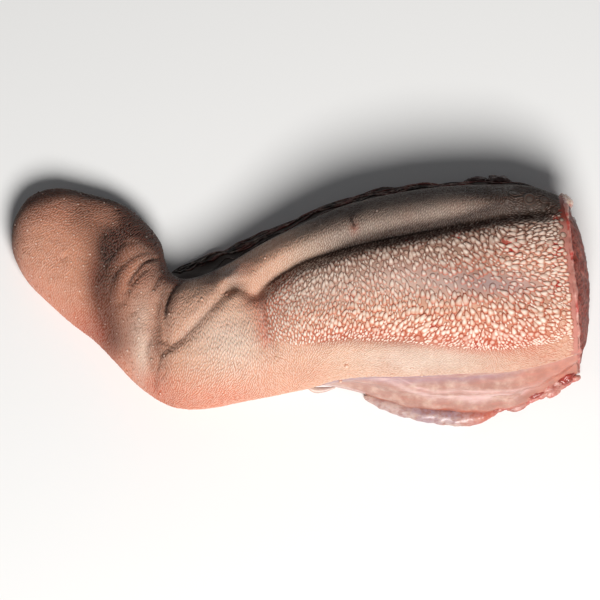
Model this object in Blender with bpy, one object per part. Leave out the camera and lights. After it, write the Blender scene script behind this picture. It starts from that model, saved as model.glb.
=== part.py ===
"""Raw beef tongue with its root cut off square, lying on its underside.

The tip points along -X and bends back towards the near side at the neck, the root is at +X, and
the papillae side faces up. One loft makes the whole body: its cross sections run from the far
edge of the upper side to the near edge, down the wall, along the flat sole and up again. Creases,
grooves and swellings are then pressed into the upper side, and the loose folds and trimmings at
the foot of the walls are joined to it.
"""

import math
from collections import namedtuple

import bmesh
import bpy
import numpy as np
from mathutils import Matrix, Vector, noise

MM = 0.001

# Cross sections, in millimetres, numbered from the apex of the tip to the cut root. far and near
# are the plan positions of the two edges of the upper side. edge is their height, crown that of
# the middle and sole that of the underside. far_flare and near_flare say how far the foot of each
# wall stands out past its edge (negative where the underside is tucked in).
Station = namedtuple("Station", "far near edge crown sole far_flare near_flare")
STATIONS = (
    Station((-173, 38), (-173, 38), 9, 9, 9, 0, 0),
    Station((-170, 49), (-171, 25), 10, 20, 2, -5, -5),
    Station((-161, 61), (-163, 9), 12, 26, 0, -8, -8),
    Station((-145, 65), (-150, -5), 14, 30, 0, -9, -9),
    Station((-126, 61), (-136, -18), 15, 32, 0, -9, -10),
    Station((-108, 55), (-121, -30), 16, 33, 0, -9, -10),
    Station((-94, 44), (-109, -43), 18, 35, 0, -9, -10),
    Station((-84, 31), (-98, -55), 19, 39, 0, -8, -10),
    Station((-81, 20), (-87, -64), 20, 43, 0, -5, -10),
    Station((-78, 12), (-76, -70), 21, 46, 0, 4, -10),
    Station((-70, 7), (-64, -72), 22, 48, 0, 13, -9),
    Station((-58, 9), (-50, -71), 23, 50, 0, 16, -8),
    Station((-42, 16), (-34, -68), 25, 53, 0, 16, -7),
    Station((-23, 27), (-16, -65), 27, 58, 0, 13, -8),
    Station((0, 38), (6, -61), 30, 66, 0, 12, -9),
    Station((27, 49), (31, -57), 33, 72, 0, 12, -1),
    Station((57, 56), (60, -56), 35, 75, 0, 13, 10),
    Station((87, 60), (90, -55), 36, 76, 0, 11, 15),
    Station((115, 61), (120, -53), 36, 75, 0, 10, 16),
    Station((137, 60), (145, -48), 36, 73, 0, 9, 10),
    Station((156, 53), (164, -42), 36, 69, 0, 5, 4),
)
LAST = len(STATIONS) - 1

# Upper side of a section: share of the width from the far edge, and share of the rise to the crown
UPPER_SIDE = (
    (0.00, 0.00),
    (0.05, 0.42),
    (0.16, 0.78),
    (0.33, 0.96),
    (0.52, 1.00),
    (0.70, 0.97),
    (0.85, 0.80),
    (0.95, 0.44),
    (1.00, 0.00),
)
UPPER_SPANS = len(UPPER_SIDE) - 1

# A wall from its top down: share of its height, share of the flare and share of the tuck, which is
# how far it draws in just under the edge of the upper side
WALL = (
    (0.78, 0.15, 1.0),
    (0.35, 0.75, 0.0),
    (0.06, 1.00, 0.0),
)
WALL_TUCK = 2.5
WALL_TUCK_SHARE = 0.05  # the tuck is at most this share of the width
TOE = 6.0  # how far the rounded foot of a wall reaches under it
TOE_SHARE = 0.14
SOLE = (0.60, 0.35)  # the points of the flat underside, as shares of the width

# Points for each span of a section: the upper side, the near wall, the sole and the far wall
SPAN_POINTS = (4,) * UPPER_SPANS + (3, 3, 3, 1, 2, 2, 2, 1, 3, 3, 3)
RINGS_PER_STATION = (4,) * 4 + (5,) * 9 + (4,) * 7

# Where relief acts in a section, in spans: all of it up to the first distance from the middle of
# the upper side or from a wall's foot, and nothing past the second
TOP_REACH = (1.5, 4.0)
FOOT_REACH = (0.5, 2.5)
FOOT_SPANS = (UPPER_SPANS + 2.5, UPPER_SPANS + 8.5)
FULL_RELIEF_FROM = 24.0  # sections thinner than this have less relief

# A crease (positive depth) or ridge (negative depth) of the upper side: its depth and half width,
# and its course in plan, in millimetres
Fold = namedtuple("Fold", "depth width course")
FOLDS = {
    "neck crease": Fold(4.0, 3.4, ((-70, 3), (-76, -6), (-79, -15), (-80, -25), (-80, -34))),
    "second neck crease": Fold(1.8, 4.0, ((-84, -12), (-88, -31), (-90, -40), (-88, -48), (-86, -56))),
    "hollow of the elbow": Fold(2.6, 5.5, ((-79, -36), (-82, -47), (-84, -60), (-84, -68))),
    "long wrinkle": Fold(2.0, 3.4, ((-82, 15), (-90, 16), (-96, 11), (-101, 3), (-106, -9))),
    "short wrinkle": Fold(1.2, 2.8, ((-91, 10), (-96, 5), (-101, -2))),
    "outer wrinkle": Fold(1.0, 3.6, ((-84, 21), (-97, 19), (-107, 11), (-114, 0))),
    "valley behind the tip": Fold(4.6, 8.6, (
        (-108, 44), (-113, 26), (-117, 5), (-116, -14), (-110, -36), (-105, -52),
    )),
    "crest of the tip": Fold(-1.6, 8.0, ((-133, 38), (-136, 14), (-133, -8), (-127, -24))),
    "crease of the tip": Fold(0.9, 3.6, ((-130, -5), (-122, -29), (-112, -46))),
    "edge of the fold pad": Fold(2.8, 4.0, (
        (-41, -4), (-48, -13), (-56, -22), (-65, -31), (-71, -36), (-80, -40),
    )),
    "dimple beside the pad": Fold(4.0, 4.2, ((-42, -5), (-34, -5))),
    "far groove": Fold(8.4, 6.4, (
        (-27, -8), (-12, 2), (4, 10), (35, 18), (65, 24), (94, 30), (121, 36), (142, 38),
    )),
    "crease before the hump": Fold(3.0, 4.0, ((-24, -8), (-22, -25), (-19, -38), (-12, -60))),
    "small far ridge": Fold(-3.0, 3.8, ((-35, 12), (-40, 4), (-45, -1))),
    "far shoulder": Fold(-3.0, 10.0, ((-20, 14), (30, 35), (80, 44), (125, 48))),
}

# A swelling of the upper side: centre in plan, radii along X and Y, and height, in millimetres
Swelling = namedtuple("Swelling", "centre radii height")
SWELLINGS = {
    "tip pad": Swelling((-146, 34), (26, 26), 3.0),
    "fold pad": Swelling((-60, -12), (14, 16), 4.0),
    "elbow": Swelling((-97, -35), (9, 26), 4.0),
    "near side of the hump": Swelling((70, -30), (80, 16), 2.0),
}

# Unevenness: height and wave length in millimetres, and what sets one pattern apart from another
UPPER_WAVES = (0.9, 22.0)
WALL_WAVES = (0.16, 11.0)  # the height is a share of the flare
PATTERN_STEP = (17.3, 5.1, 9.7)

# The cut root: how far the middle of the face and the foot of it stand out past the upper rim
CUT_BULGE = 10.0
CUT_ROUNDNESS = 1.8
CUT_RIM_HOLD = 6.0  # how sharply the unevenness of the face dies out towards the rim
CUT_FOOT = 2.0
CUT_LEAN_FROM = LAST - 2.0
CUT_RINGS = (0.96, 0.82, 0.62, 0.38, 0.16)
CUT_WAVES = (1.4, 20.0)

# The fold of loose membrane at the foot of the near wall: its course and the radius at each point
MEMBRANE = (
    ((38, -60, 3.0), 1.2),
    ((50, -65, 3.4), 3.2),
    ((68, -70, 3.8), 4.2),
    ((88, -73, 4.0), 4.8),
    ((104, -73, 3.8), 4.4),
    ((116, -69, 3.2), 2.6),
)
MEMBRANE_SQUASH = 0.75

# Trimmings left at the cut: centre, radii and turn about Z in degrees
Scrap = namedtuple("Scrap", "centre radii turn")
SCRAP_LUMPS = (0.25, 1.7)  # share of the radius, and lumps for each radius
SCRAP_LOWEST = 0.4
SCRAPS = (
    Scrap((158, -50, 8), (7, 4.5, 5), 30),
    Scrap((151, -52, 7), (6, 4, 4), 40),
    Scrap((140, -58, 6), (9, 4, 4), 20),
    Scrap((120, 71, 8), (8, 4, 5), -10),
    Scrap((106, 72, 6), (7, 3, 4), 5),
    Scrap((159, 47, 36), (4.5, 6, 8), 0),
)

FLESH_COLOUR = (0.62, 0.30, 0.22, 1.0)
FLESH_ROUGHNESS = 0.45


def spline(values, where):
    """A smooth curve through evenly numbered values, read at the numbers in where."""
    values = np.asarray(values, float)
    ends = np.concatenate([[2 * values[0] - values[1]], values, [2 * values[-1] - values[-2]]])
    start = np.clip(np.floor(where).astype(int), 0, len(values) - 2)
    t = (where - start).reshape((-1,) + (1,) * (values.ndim - 1))
    before, left, right, after = (ends[start + i] for i in range(4))
    return left + 0.5 * t * (
        right - before
        + t * (2 * before - 5 * left + 4 * right - after)
        + t * t * (3 * (left - right) + after - before)
    )


def closed_spline(points, span_points):
    """A closed smooth curve through points, with span_points[i] samples from point i on."""
    points = np.asarray(points, float)
    where = np.concatenate([i + np.arange(n) / n for i, n in enumerate(span_points)])
    wrapped = np.concatenate([points[-2:], points, points[:3]])
    chord = np.sqrt(np.maximum(np.linalg.norm(np.diff(wrapped, axis=0), axis=1), 1e-6))
    slope = np.diff(wrapped, axis=0) / chord[:, None]
    before, after = chord[:-1, None], chord[1:, None]
    tangent = (slope[:-1] * after + slope[1:] * before) / (before + after)
    start = np.floor(where).astype(int)
    t = (where - start)[:, None]
    step = chord[start + 2][:, None]
    left, right = wrapped[start + 2], wrapped[start + 3]
    leave, arrive = tangent[start + 1] * step, tangent[start + 2] * step
    return (
        (2 * t**3 - 3 * t**2 + 1) * left
        + (t**3 - 2 * t**2 + t) * leave
        + (3 * t**2 - 2 * t**3) * right
        + (t**3 - t**2) * arrive
    )


def station_values(where):
    """Every column of the station table at fractional station numbers."""
    far = np.array([s.far for s in STATIONS], float)
    near = np.array([s.near for s in STATIONS], float)
    sizes = np.array([s[2:] for s in STATIONS], float)
    return spline(far, where), spline(near, where), spline(sizes, where)


def section_outline(width, edge, crown, sole, far_flare, near_flare):
    """Points that a section passes through, as distance from the far edge and height."""
    toe = min(TOE, TOE_SHARE * width)
    tuck = min(WALL_TUCK, WALL_TUCK_SHARE * width)
    upper = [(share * width, edge + rise * (crown - edge)) for share, rise in UPPER_SIDE]
    near_wall = [
        (width + flare * near_flare - draw * tuck, sole + rise * (edge - sole)) for rise, flare, draw in WALL
    ]
    far_wall = [
        (draw * tuck - flare * far_flare, sole + rise * (edge - sole)) for rise, flare, draw in reversed(WALL)
    ]
    underside = [(width + near_flare - toe, sole)]
    underside += [(share * width, sole) for share in SOLE]
    underside += [(toe - far_flare, sole)]
    return upper + near_wall + underside + far_wall


def fade(distance, full, gone):
    """1 up to the distance full, falling to 0 at the distance gone."""
    return np.clip((gone - distance) / (gone - full), 0, 1)


def distance_to(course, plan):
    """Distance from each plan point to a course of straight runs."""
    nearest = np.full(len(plan), np.inf)
    for start, end in zip(course[:-1], course[1:]):
        start, run = np.array(start, float), np.subtract(end, start)
        share = np.clip((plan - start) @ run / (run @ run), 0, 1)
        nearest = np.minimum(nearest, np.linalg.norm(plan - start - share[:, None] * run, axis=1))
    return nearest


def smooth_course(course, points_per_run=5):
    where = np.linspace(0, len(course) - 1, (len(course) - 1) * points_per_run + 1)
    return spline(course, where)


def relief(plan):
    """Height that the folds and swellings add to the upper side, in millimetres."""
    height = np.zeros(len(plan))
    for fold in FOLDS.values():
        away = distance_to(smooth_course(fold.course), plan)
        height -= fold.depth * np.exp(-((away / fold.width) ** 2))
    for swelling in SWELLINGS.values():
        offset = (plan - np.array(swelling.centre)) / np.array(swelling.radii)
        height += swelling.height * np.exp(-(offset**2).sum(axis=1))
    return height


def waves(points, size, length, pattern):
    """Smooth unevenness at each point, between about -size and size."""
    shift = Vector(PATTERN_STEP) * pattern
    return np.array([size * noise.noise(Vector(p) / length + shift) for p in points])


def body_rings():
    """Rings of the loft from the tip to the cut rim, as an array of rings, points and XYZ."""
    where = np.concatenate([k + np.arange(1, n + 1) / n for k, n in enumerate(RINGS_PER_STATION)])
    far, near, sizes = station_values(where)
    spans = np.concatenate([i + np.arange(n) / n for i, n in enumerate(SPAN_POINTS)])
    on_top = fade(np.abs(spans - UPPER_SPANS / 2), *TOP_REACH)
    on_foot = sum(fade(np.abs(spans - foot), *FOOT_REACH) for foot in FOOT_SPANS)
    rings = []
    for number, far_edge, near_edge, size in zip(where, far, near, sizes):
        edge, crown, sole, far_flare, near_flare = size
        width = np.linalg.norm(near_edge - far_edge)
        across = (near_edge - far_edge) / width
        outline = closed_spline(section_outline(width, *size), SPAN_POINTS)
        plan = far_edge + outline[:, :1] * across
        height = np.maximum(outline[:, 1], sole)
        fullness = min(1.0, (crown - sole) / FULL_RELIEF_FROM)
        bump = relief(plan) + waves(np.c_[plan, height], *UPPER_WAVES, 1)
        height = np.maximum(height + fullness * on_top * bump, sole)
        outward = np.sign(outline[:, 0] - width / 2)
        flare = np.where(outward > 0, near_flare, far_flare)
        ragged = waves(np.c_[plan, height], *WALL_WAVES, 2) * np.maximum(flare, 0)
        plan = plan + np.outer(on_foot * ragged * outward, across)
        lean = np.clip((number - CUT_LEAN_FROM) / (LAST - CUT_LEAN_FROM), 0, 1) ** 2
        plan[:, 0] += CUT_FOOT * lean * (1 - height / crown)
        rings.append(np.c_[plan, height])
    return np.array(rings)


def cut_face_rings(rim):
    """Rings that close the cut root, shrinking towards its middle and standing out from the rim."""
    middle = rim.mean(axis=0)
    rings = []
    for share in CUT_RINGS:
        ring = middle + share * (rim - middle)
        ring[:, 0] += CUT_BULGE * (1 - share**CUT_ROUNDNESS)
        ring[:, 0] += waves(ring, *CUT_WAVES, 3) * (1 - share**CUT_RIM_HOLD)
        rings.append(ring)
    centre = middle + np.array([CUT_BULGE, 0, 0])
    return rings, centre


def mesh_object(name, build):
    mesh = bpy.data.meshes.new(name)
    shape = bmesh.new()
    build(shape)
    bmesh.ops.recalc_face_normals(shape, faces=shape.faces)
    shape.to_mesh(mesh)
    shape.free()
    obj = bpy.data.objects.new(name, mesh)
    bpy.context.scene.collection.objects.link(obj)
    return obj


def make_body():
    """The loft: an apex, the rings of the body, the rings of the cut face and its centre."""
    rings = list(body_rings())
    apex = np.array([*STATIONS[0].far, STATIONS[0].edge], float)
    face_rings, centre = cut_face_rings(rings[-1])
    rings += face_rings

    def build(shape):
        loops = [[shape.verts.new(p * MM) for p in ring] for ring in rings]
        count = len(loops[0])
        first, last = shape.verts.new(apex * MM), shape.verts.new(centre * MM)
        for i in range(count):
            j = (i + 1) % count
            shape.faces.new((first, loops[0][j], loops[0][i]))
            shape.faces.new((last, loops[-1][i], loops[-1][j]))
            for ring, following in zip(loops[:-1], loops[1:]):
                shape.faces.new((ring[i], ring[j], following[j], following[i]))

    return mesh_object("tongue", build)


def curve_mesh(name, course, squash):
    """A tube through points with a radius at each, flattened in height, as a closed mesh."""
    curve = bpy.data.curves.new(name, "CURVE")
    curve.dimensions = "3D"
    curve.bevel_depth = MM
    curve.bevel_resolution = 3
    curve.resolution_u = 4
    curve.use_fill_caps = True
    line = curve.splines.new("NURBS")
    line.points.add(len(course) - 1)
    line.use_endpoint_u = True
    line.order_u = 3
    for point, (place, radius) in zip(line.points, course):
        point.co = (place[0] * MM, place[1] * MM, place[2] * MM / squash, 1)
        point.radius = radius
    source = bpy.data.objects.new(name + "_curve", curve)
    bpy.context.scene.collection.objects.link(source)
    graph = bpy.context.evaluated_depsgraph_get()
    mesh = bpy.data.meshes.new_from_object(source.evaluated_get(graph))
    bpy.data.objects.remove(source)
    shape = bmesh.new()
    shape.from_mesh(mesh)
    bmesh.ops.remove_doubles(shape, verts=shape.verts, dist=1e-6)
    for vert in shape.verts:
        vert.co.z = max(vert.co.z * squash, 0.0)
    bmesh.ops.recalc_face_normals(shape, faces=shape.faces)
    shape.to_mesh(mesh)
    shape.free()
    obj = bpy.data.objects.new(name, mesh)
    bpy.context.scene.collection.objects.link(obj)
    return obj


def make_scrap(number, scrap):
    """A lump of trimmed flesh: a ball drawn out to its radii, with an uneven surface."""
    bpy.ops.mesh.primitive_ico_sphere_add(subdivisions=2, radius=1)
    obj = bpy.context.object
    obj.name = f"scrap_{number}"
    turn = math.radians(scrap.turn)
    lump_height, lumps = SCRAP_LUMPS
    for vert in obj.data.vertices:
        x, y, z = (a * r for a, r in zip(vert.co, scrap.radii))
        swell = 1 + lump_height * noise.noise(Vector(vert.co) * lumps + Vector(scrap.centre))
        vert.co = (
            (scrap.centre[0] + swell * (x * math.cos(turn) - y * math.sin(turn))) * MM,
            (scrap.centre[1] + swell * (x * math.sin(turn) + y * math.cos(turn))) * MM,
            max(scrap.centre[2] + swell * z, SCRAP_LOWEST) * MM,
        )
    return obj


def join(body, extras):
    """Unites the extras with the body by one Boolean on their collection, and removes them."""
    group = bpy.data.collections.new("trimmings")
    for obj in extras:
        for owner in obj.users_collection:
            owner.objects.unlink(obj)
        group.objects.link(obj)
    bpy.context.scene.collection.children.link(group)
    union = body.modifiers.new("union", "BOOLEAN")
    union.operation = "UNION"
    union.operand_type = "COLLECTION"
    union.collection = group
    union.solver = "MANIFOLD"
    graph = bpy.context.evaluated_depsgraph_get()
    united = bpy.data.meshes.new_from_object(body.evaluated_get(graph))
    body.modifiers.remove(union)
    body.data = united
    for obj in extras:
        bpy.data.objects.remove(obj)
    bpy.data.collections.remove(group)


def centre_on_origin(obj):
    """Shifts a mesh so that its box is centred in plan and stands on z = 0."""
    corners = np.array(obj.bound_box)
    low, high = corners.min(axis=0), corners.max(axis=0)
    shift = Vector((-(low[0] + high[0]) / 2, -(low[1] + high[1]) / 2, -low[2]))
    obj.data.transform(Matrix.Translation(shift))


def flesh_material():
    material = bpy.data.materials.new("raw_tongue")
    material.use_nodes = True
    shader = material.node_tree.nodes["Principled BSDF"]
    shader.inputs["Base Color"].default_value = FLESH_COLOUR
    shader.inputs["Roughness"].default_value = FLESH_ROUGHNESS
    shader.inputs["Metallic"].default_value = 0.0
    return material


def main():
    for obj in list(bpy.data.objects):
        bpy.data.objects.remove(obj)
    body = make_body()
    membrane = curve_mesh("membrane", MEMBRANE, MEMBRANE_SQUASH)
    scraps = [make_scrap(number, scrap) for number, scrap in enumerate(SCRAPS)]
    join(body, [membrane, *scraps])
    centre_on_origin(body)
    body.data.shade_smooth()
    body.data.materials.clear()
    body.data.materials.append(flesh_material())
    collection = bpy.data.collections.new("beef tongue")
    bpy.context.scene.collection.children.link(collection)
    collection.objects.link(body)
    bpy.context.scene.collection.objects.unlink(body)


main()
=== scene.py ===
"""Looks of a raw beef tongue: a fine skin over the solid's form, with its papillae, folds and cut root.

Run as a script. Lengths in the tables and in the form's functions are in millimetres, in the plan
position that the outline was drawn in, and the body is set over the solid at the end.
"""

import math
from collections import namedtuple
from functools import lru_cache

import bmesh
import bpy
import numpy as np
from bpy.props import FloatProperty, FloatVectorProperty, IntProperty, PointerProperty
from mathutils import Matrix, Vector, kdtree, noise


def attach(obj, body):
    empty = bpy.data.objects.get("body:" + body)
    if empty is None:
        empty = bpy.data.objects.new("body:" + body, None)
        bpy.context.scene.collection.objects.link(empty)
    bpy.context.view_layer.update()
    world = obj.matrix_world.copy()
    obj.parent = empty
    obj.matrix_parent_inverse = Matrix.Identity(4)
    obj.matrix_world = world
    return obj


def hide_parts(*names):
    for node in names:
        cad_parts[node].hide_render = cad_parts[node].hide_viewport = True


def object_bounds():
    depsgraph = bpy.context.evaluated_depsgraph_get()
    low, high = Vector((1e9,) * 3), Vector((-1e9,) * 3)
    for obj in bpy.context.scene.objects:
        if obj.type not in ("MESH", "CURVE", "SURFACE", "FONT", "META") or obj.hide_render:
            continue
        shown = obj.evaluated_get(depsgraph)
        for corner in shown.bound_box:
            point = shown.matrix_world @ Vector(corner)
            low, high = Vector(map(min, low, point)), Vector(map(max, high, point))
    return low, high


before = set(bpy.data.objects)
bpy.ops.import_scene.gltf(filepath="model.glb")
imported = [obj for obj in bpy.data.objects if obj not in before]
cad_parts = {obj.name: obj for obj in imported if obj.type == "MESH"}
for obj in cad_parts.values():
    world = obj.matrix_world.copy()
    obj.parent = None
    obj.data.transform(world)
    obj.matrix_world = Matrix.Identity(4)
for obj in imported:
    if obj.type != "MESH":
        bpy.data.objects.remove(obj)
CAD_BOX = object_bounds()

bl_info = {
    "name": "Raw beef tongue",
    "version": (1, 0, 0),
    "blender": (4, 5, 0),
    "location": "View3D > Sidebar > Tongue",
    "description": "Builds a raw beef tongue with its papillae, neck folds and cut root",
    "category": "Object",
}

MM = 0.001
BODY = "root"

# Cross sections, numbered from the apex of the tip to the cut root. far and near are the plan
# positions of the two edges of the upper side. edge is their height, crown that of the middle and
# sole that of the underside. The flares say how far the foot of each wall stands out past its edge.
Station = namedtuple("Station", "far near edge crown sole far_flare near_flare")
STATIONS = (
    Station((-173, 38), (-173, 38), 9, 9, 9, 0, 0),
    Station((-170, 49), (-171, 25), 10, 20, 2, -5, -5),
    Station((-161, 61), (-163, 9), 12, 26, 0, -8, -8),
    Station((-145, 65), (-150, -5), 14, 30, 0, -9, -9),
    Station((-126, 61), (-136, -18), 15, 32, 0, -9, -10),
    Station((-108, 55), (-121, -30), 16, 33, 0, -9, -10),
    Station((-94, 44), (-109, -43), 18, 35, 0, -9, -10),
    Station((-84, 31), (-98, -55), 19, 39, 0, -8, -10),
    Station((-81, 20), (-87, -64), 20, 43, 0, -5, -10),
    Station((-78, 12), (-76, -70), 21, 46, 0, 4, -10),
    Station((-70, 7), (-64, -72), 22, 48, 0, 13, -9),
    Station((-58, 9), (-50, -71), 23, 50, 0, 16, -8),
    Station((-42, 16), (-34, -68), 25, 53, 0, 16, -7),
    Station((-23, 27), (-16, -65), 27, 58, 0, 13, -8),
    Station((0, 38), (6, -61), 30, 66, 0, 12, -9),
    Station((27, 49), (31, -57), 33, 72, 0, 12, -1),
    Station((57, 56), (60, -56), 35, 75, 0, 13, 10),
    Station((87, 60), (90, -55), 36, 76, 0, 11, 15),
    Station((115, 61), (120, -53), 36, 75, 0, 10, 16),
    Station((137, 60), (145, -48), 36, 73, 0, 9, 10),
    Station((156, 53), (164, -42), 36, 69, 0, 5, 4),
)
LAST = len(STATIONS) - 1

# Upper side of a section: share of the width from the far edge, and share of the rise to the crown
UPPER_SIDE = (
    (0.00, 0.00),
    (0.05, 0.42),
    (0.16, 0.78),
    (0.33, 0.96),
    (0.52, 1.00),
    (0.70, 0.97),
    (0.85, 0.80),
    (0.95, 0.44),
    (1.00, 0.00),
)
UPPER_SPANS = len(UPPER_SIDE) - 1

# A wall from its top down: share of its height, of the flare and of the tuck under the edge
WALL = ((0.78, 0.15, 1.0), (0.35, 0.75, 0.0), (0.06, 1.00, 0.0))
WALL_SPANS = len(WALL)
WALL_TUCK = 2.5
WALL_TUCK_SHARE = 0.05
TOE = 6.0
TOE_SHARE = 0.14
SOLE = (0.60, 0.35)
ALL_SPANS = UPPER_SPANS + 2 * WALL_SPANS + len(SOLE) + 3
FAR_FOOT_SPAN = ALL_SPANS - WALL_SPANS

# Points of the fine surface for each span, and its rings
SPAN_POINTS = (25,) * UPPER_SPANS + (14, 14, 10, 3, 3, 3, 3, 3, 8, 11, 11)
RINGS_PER_STATION = (15,) * 4 + (17,) * 6 + (15,) * 10
SKIN_RINGS = sum(RINGS_PER_STATION)

# Where relief acts in a section, in spans: all of it up to the first distance, nothing past the second
TOP_REACH = (1.5, 4.0)
FOOT_REACH = (0.5, 2.5)
FOOT_SPANS = (UPPER_SPANS + 2.5, UPPER_SPANS + 8.5)
FULL_RELIEF_FROM = 24.0

# A crease (positive depth) or ridge (negative depth): depth, half width and course in plan
Fold = namedtuple("Fold", "depth width course")
FOLDS = {
    "neck crease": Fold(4.0, 3.4, ((-70, 3), (-76, -6), (-79, -15), (-80, -25), (-80, -34))),
    "second neck crease": Fold(1.8, 4.0, ((-84, -12), (-88, -31), (-90, -40), (-88, -48), (-86, -56))),
    "hollow of the elbow": Fold(2.6, 5.5, ((-79, -36), (-82, -47), (-84, -60), (-84, -68))),
    "long wrinkle": Fold(2.0, 3.4, ((-82, 15), (-90, 16), (-96, 11), (-101, 3), (-106, -9))),
    "short wrinkle": Fold(1.2, 2.8, ((-91, 10), (-96, 5), (-101, -2))),
    "outer wrinkle": Fold(1.0, 3.6, ((-84, 21), (-97, 19), (-107, 11), (-114, 0))),
    "valley": Fold(4.6, 8.6, ((-108, 44), (-113, 26), (-117, 5), (-116, -14), (-110, -36), (-105, -52))),
    "crest of the tip": Fold(-1.6, 8.0, ((-133, 38), (-136, 14), (-133, -8), (-127, -24))),
    "crease of the tip": Fold(0.9, 3.6, ((-130, -5), (-122, -29), (-112, -46))),
    "edge of the fold pad": Fold(2.8, 4.0, (
        (-41, -4), (-48, -13), (-56, -22), (-65, -31), (-71, -36), (-80, -40),
    )),
    "dimple": Fold(4.0, 4.2, ((-42, -5), (-34, -5))),
    "far groove": Fold(8.4, 6.4, (
        (-27, -8), (-12, 2), (4, 10), (35, 18), (65, 24), (94, 30), (121, 36), (142, 38),
    )),
    "crease before the hump": Fold(3.0, 4.0, ((-24, -8), (-22, -25), (-19, -38), (-12, -60))),
    "small far ridge": Fold(-3.0, 3.8, ((-35, 12), (-40, 4), (-45, -1))),
    "far shoulder": Fold(-3.0, 10.0, ((-20, 14), (30, 35), (80, 44), (125, 48))),
}

# Lines pressed along the folds, too fine for the solid
FINE_FOLDS = {
    "neck crease line": Fold(1.2, 1.0, ((-69, 5), (-75, -4), (-78.5, -13), (-80, -24))),
    "second line": Fold(0.5, 1.2, ((-80, -1), (-82, -9), (-83.5, -16), (-83, -25), (-82, -33))),
    "elbow line": Fold(0.7, 1.4, ((-88, -31), (-90, -40), (-88, -48), (-86, -56))),
    "front line": Fold(0.8, 1.2, ((-80, -38), (-83, -48), (-85, -56), (-85, -66))),
    "long wrinkle line": Fold(1.0, 0.9, ((-82, 16), (-88, 16.5), (-93, 14), (-98, 8), (-104, -2))),
    "short wrinkle line": Fold(0.6, 1.1, ((-90, 11), (-95, 6), (-101, -1))),
    "third wrinkle line": Fold(0.5, 1.3, ((-81, 6), (-85, 0), (-87, -6))),
    "outer wrinkle line": Fold(0.6, 1.0, FOLDS["outer wrinkle"].course),
    "far wrinkle": Fold(0.6, 1.3, ((-90, 27), (-103, 27), (-112, 20), (-118, 8))),
    "valley line": Fold(1.0, 1.2, ((-113, 36), (-120, 10), (-120, -12), (-113, -34), (-108, -50))),
    "tip line": Fold(0.6, 1.0, ((-128, -8), (-121, -29), (-112, -44))),
    "pad line": Fold(0.4, 1.1, FOLDS["edge of the fold pad"].course),
    "pad rim": Fold(-0.5, 3.0, ((-44, -1), (-51, -10), (-59, -19), (-67, -27), (-73, -32))),
    "hump line": Fold(0.9, 1.0, ((-25, -4), (-23, -18), (-21, -30), (-17, -45))),
    "groove line": Fold(1.6, 1.5, ((-24, -6), (-12, 2.5), (4, 10.5), (35, 18.5), (65, 24.5), (94, 30.5))),
    "scar": Fold(1.3, 1.3, ((31, 40), (30, 33), (33, 26))),
    "tip scar": Fold(1.0, 1.2, ((-143, 16), (-138, 20))),
}
VALLEY_LINES = Fold(0.35, 0.8, ((-106, 26), (-110, 4), (-108, -16), (-101, -38)))
VALLEY_LINE_STEPS = (-5.5, -3.2, 0.0, 2.4, 5.0, 8.2)

# A swelling of the upper side: centre in plan, radii along X and Y, and height
Swelling = namedtuple("Swelling", "centre radii height")
SWELLINGS = {
    "tip pad": Swelling((-146, 34), (26, 26), 3.0),
    "fold pad": Swelling((-60, -12), (14, 16), 4.0),
    "elbow": Swelling((-97, -35), (9, 26), 4.0),
    "near side of the hump": Swelling((70, -30), (80, 16), 2.0),
}

# Unevenness: height and wave length in millimetres, and what sets one pattern apart from another
UPPER_WAVES = (0.9, 22.0)
SKIN_WAVES = (0.35, 5.0)
WALL_WAVES = (0.16, 11.0)
MEAT_WAVES = (0.5, 4.0)
PATTERN_STEP = (17.3, 5.1, 9.7)

# Long soft folds of the wet wall under the near edge: place down the wall, height and half width
WALL_FOLDS = (
    (0.05, -1.4, 0.05),
    (0.24, -0.9, 0.09),
    (0.46, 2.0, 0.09),
    (0.62, -0.9, 0.05),
    (0.78, 1.3, 0.08),
)
WALL_FOLDS_FROM = (13.8, 16.0)

# How far the wet wall climbs past the edge at its front, as a share of the width, and at which stations
WET_RISE = 0.034
WET_RISE_ENDS = ((13.9, 14.5), (15.0, 17.2))

# The cut root
CUT_BULGE = 10.0
CUT_ROUNDNESS = 1.8
CUT_RIM_HOLD = 6.0
CUT_FOOT = 2.0
CUT_LEAN_FROM = LAST - 2.0
CUT_RINGS = 26
CUT_WAVES = (1.4, 20.0)
CUT_FINE_WAVES = ((0.9, 5.0), (0.45, 1.8))
CUT_STEP = (0.965, 1.8)  # share of the face where the meat starts, and its depth below the skin

# The fold of loose membrane at the foot of the near wall, as in the solid: place and radius
MEMBRANE = (
    ((38, -60, 3.0), 1.2),
    ((50, -65, 3.4), 3.2),
    ((68, -70, 3.8), 4.2),
    ((88, -73, 4.0), 4.8),
    ((104, -73, 3.8), 4.4),
    ((116, -69, 3.2), 2.6),
)
MEMBRANE_SQUASH = 0.75
MEMBRANE_COVER = 1.04  # how much wider it is than the solid's
MEMBRANE_LUMPS = (0.16, 5.0)
VIOLET_END = (0.015, 0.075)  # where along X, in metres, the membrane fold turns violet
RAW_END = (0.092, 0.112)  # and where it ends in raw red
FRESH_END = (0.106, 0.128)  # and where the torn flesh beside it turns from bright red to pink
FAR_SIDE = (0.015, 0.056)  # and where along Y the trimmings are painted dark brown, as the shade of the far side

# The small lip of membrane where the wet wall begins
LIP = (((4, -60, 28), 0.5), ((9, -61.5, 26), 1.6), ((15, -61, 26), 1.4), ((21, -60, 27), 0.5))

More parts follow.
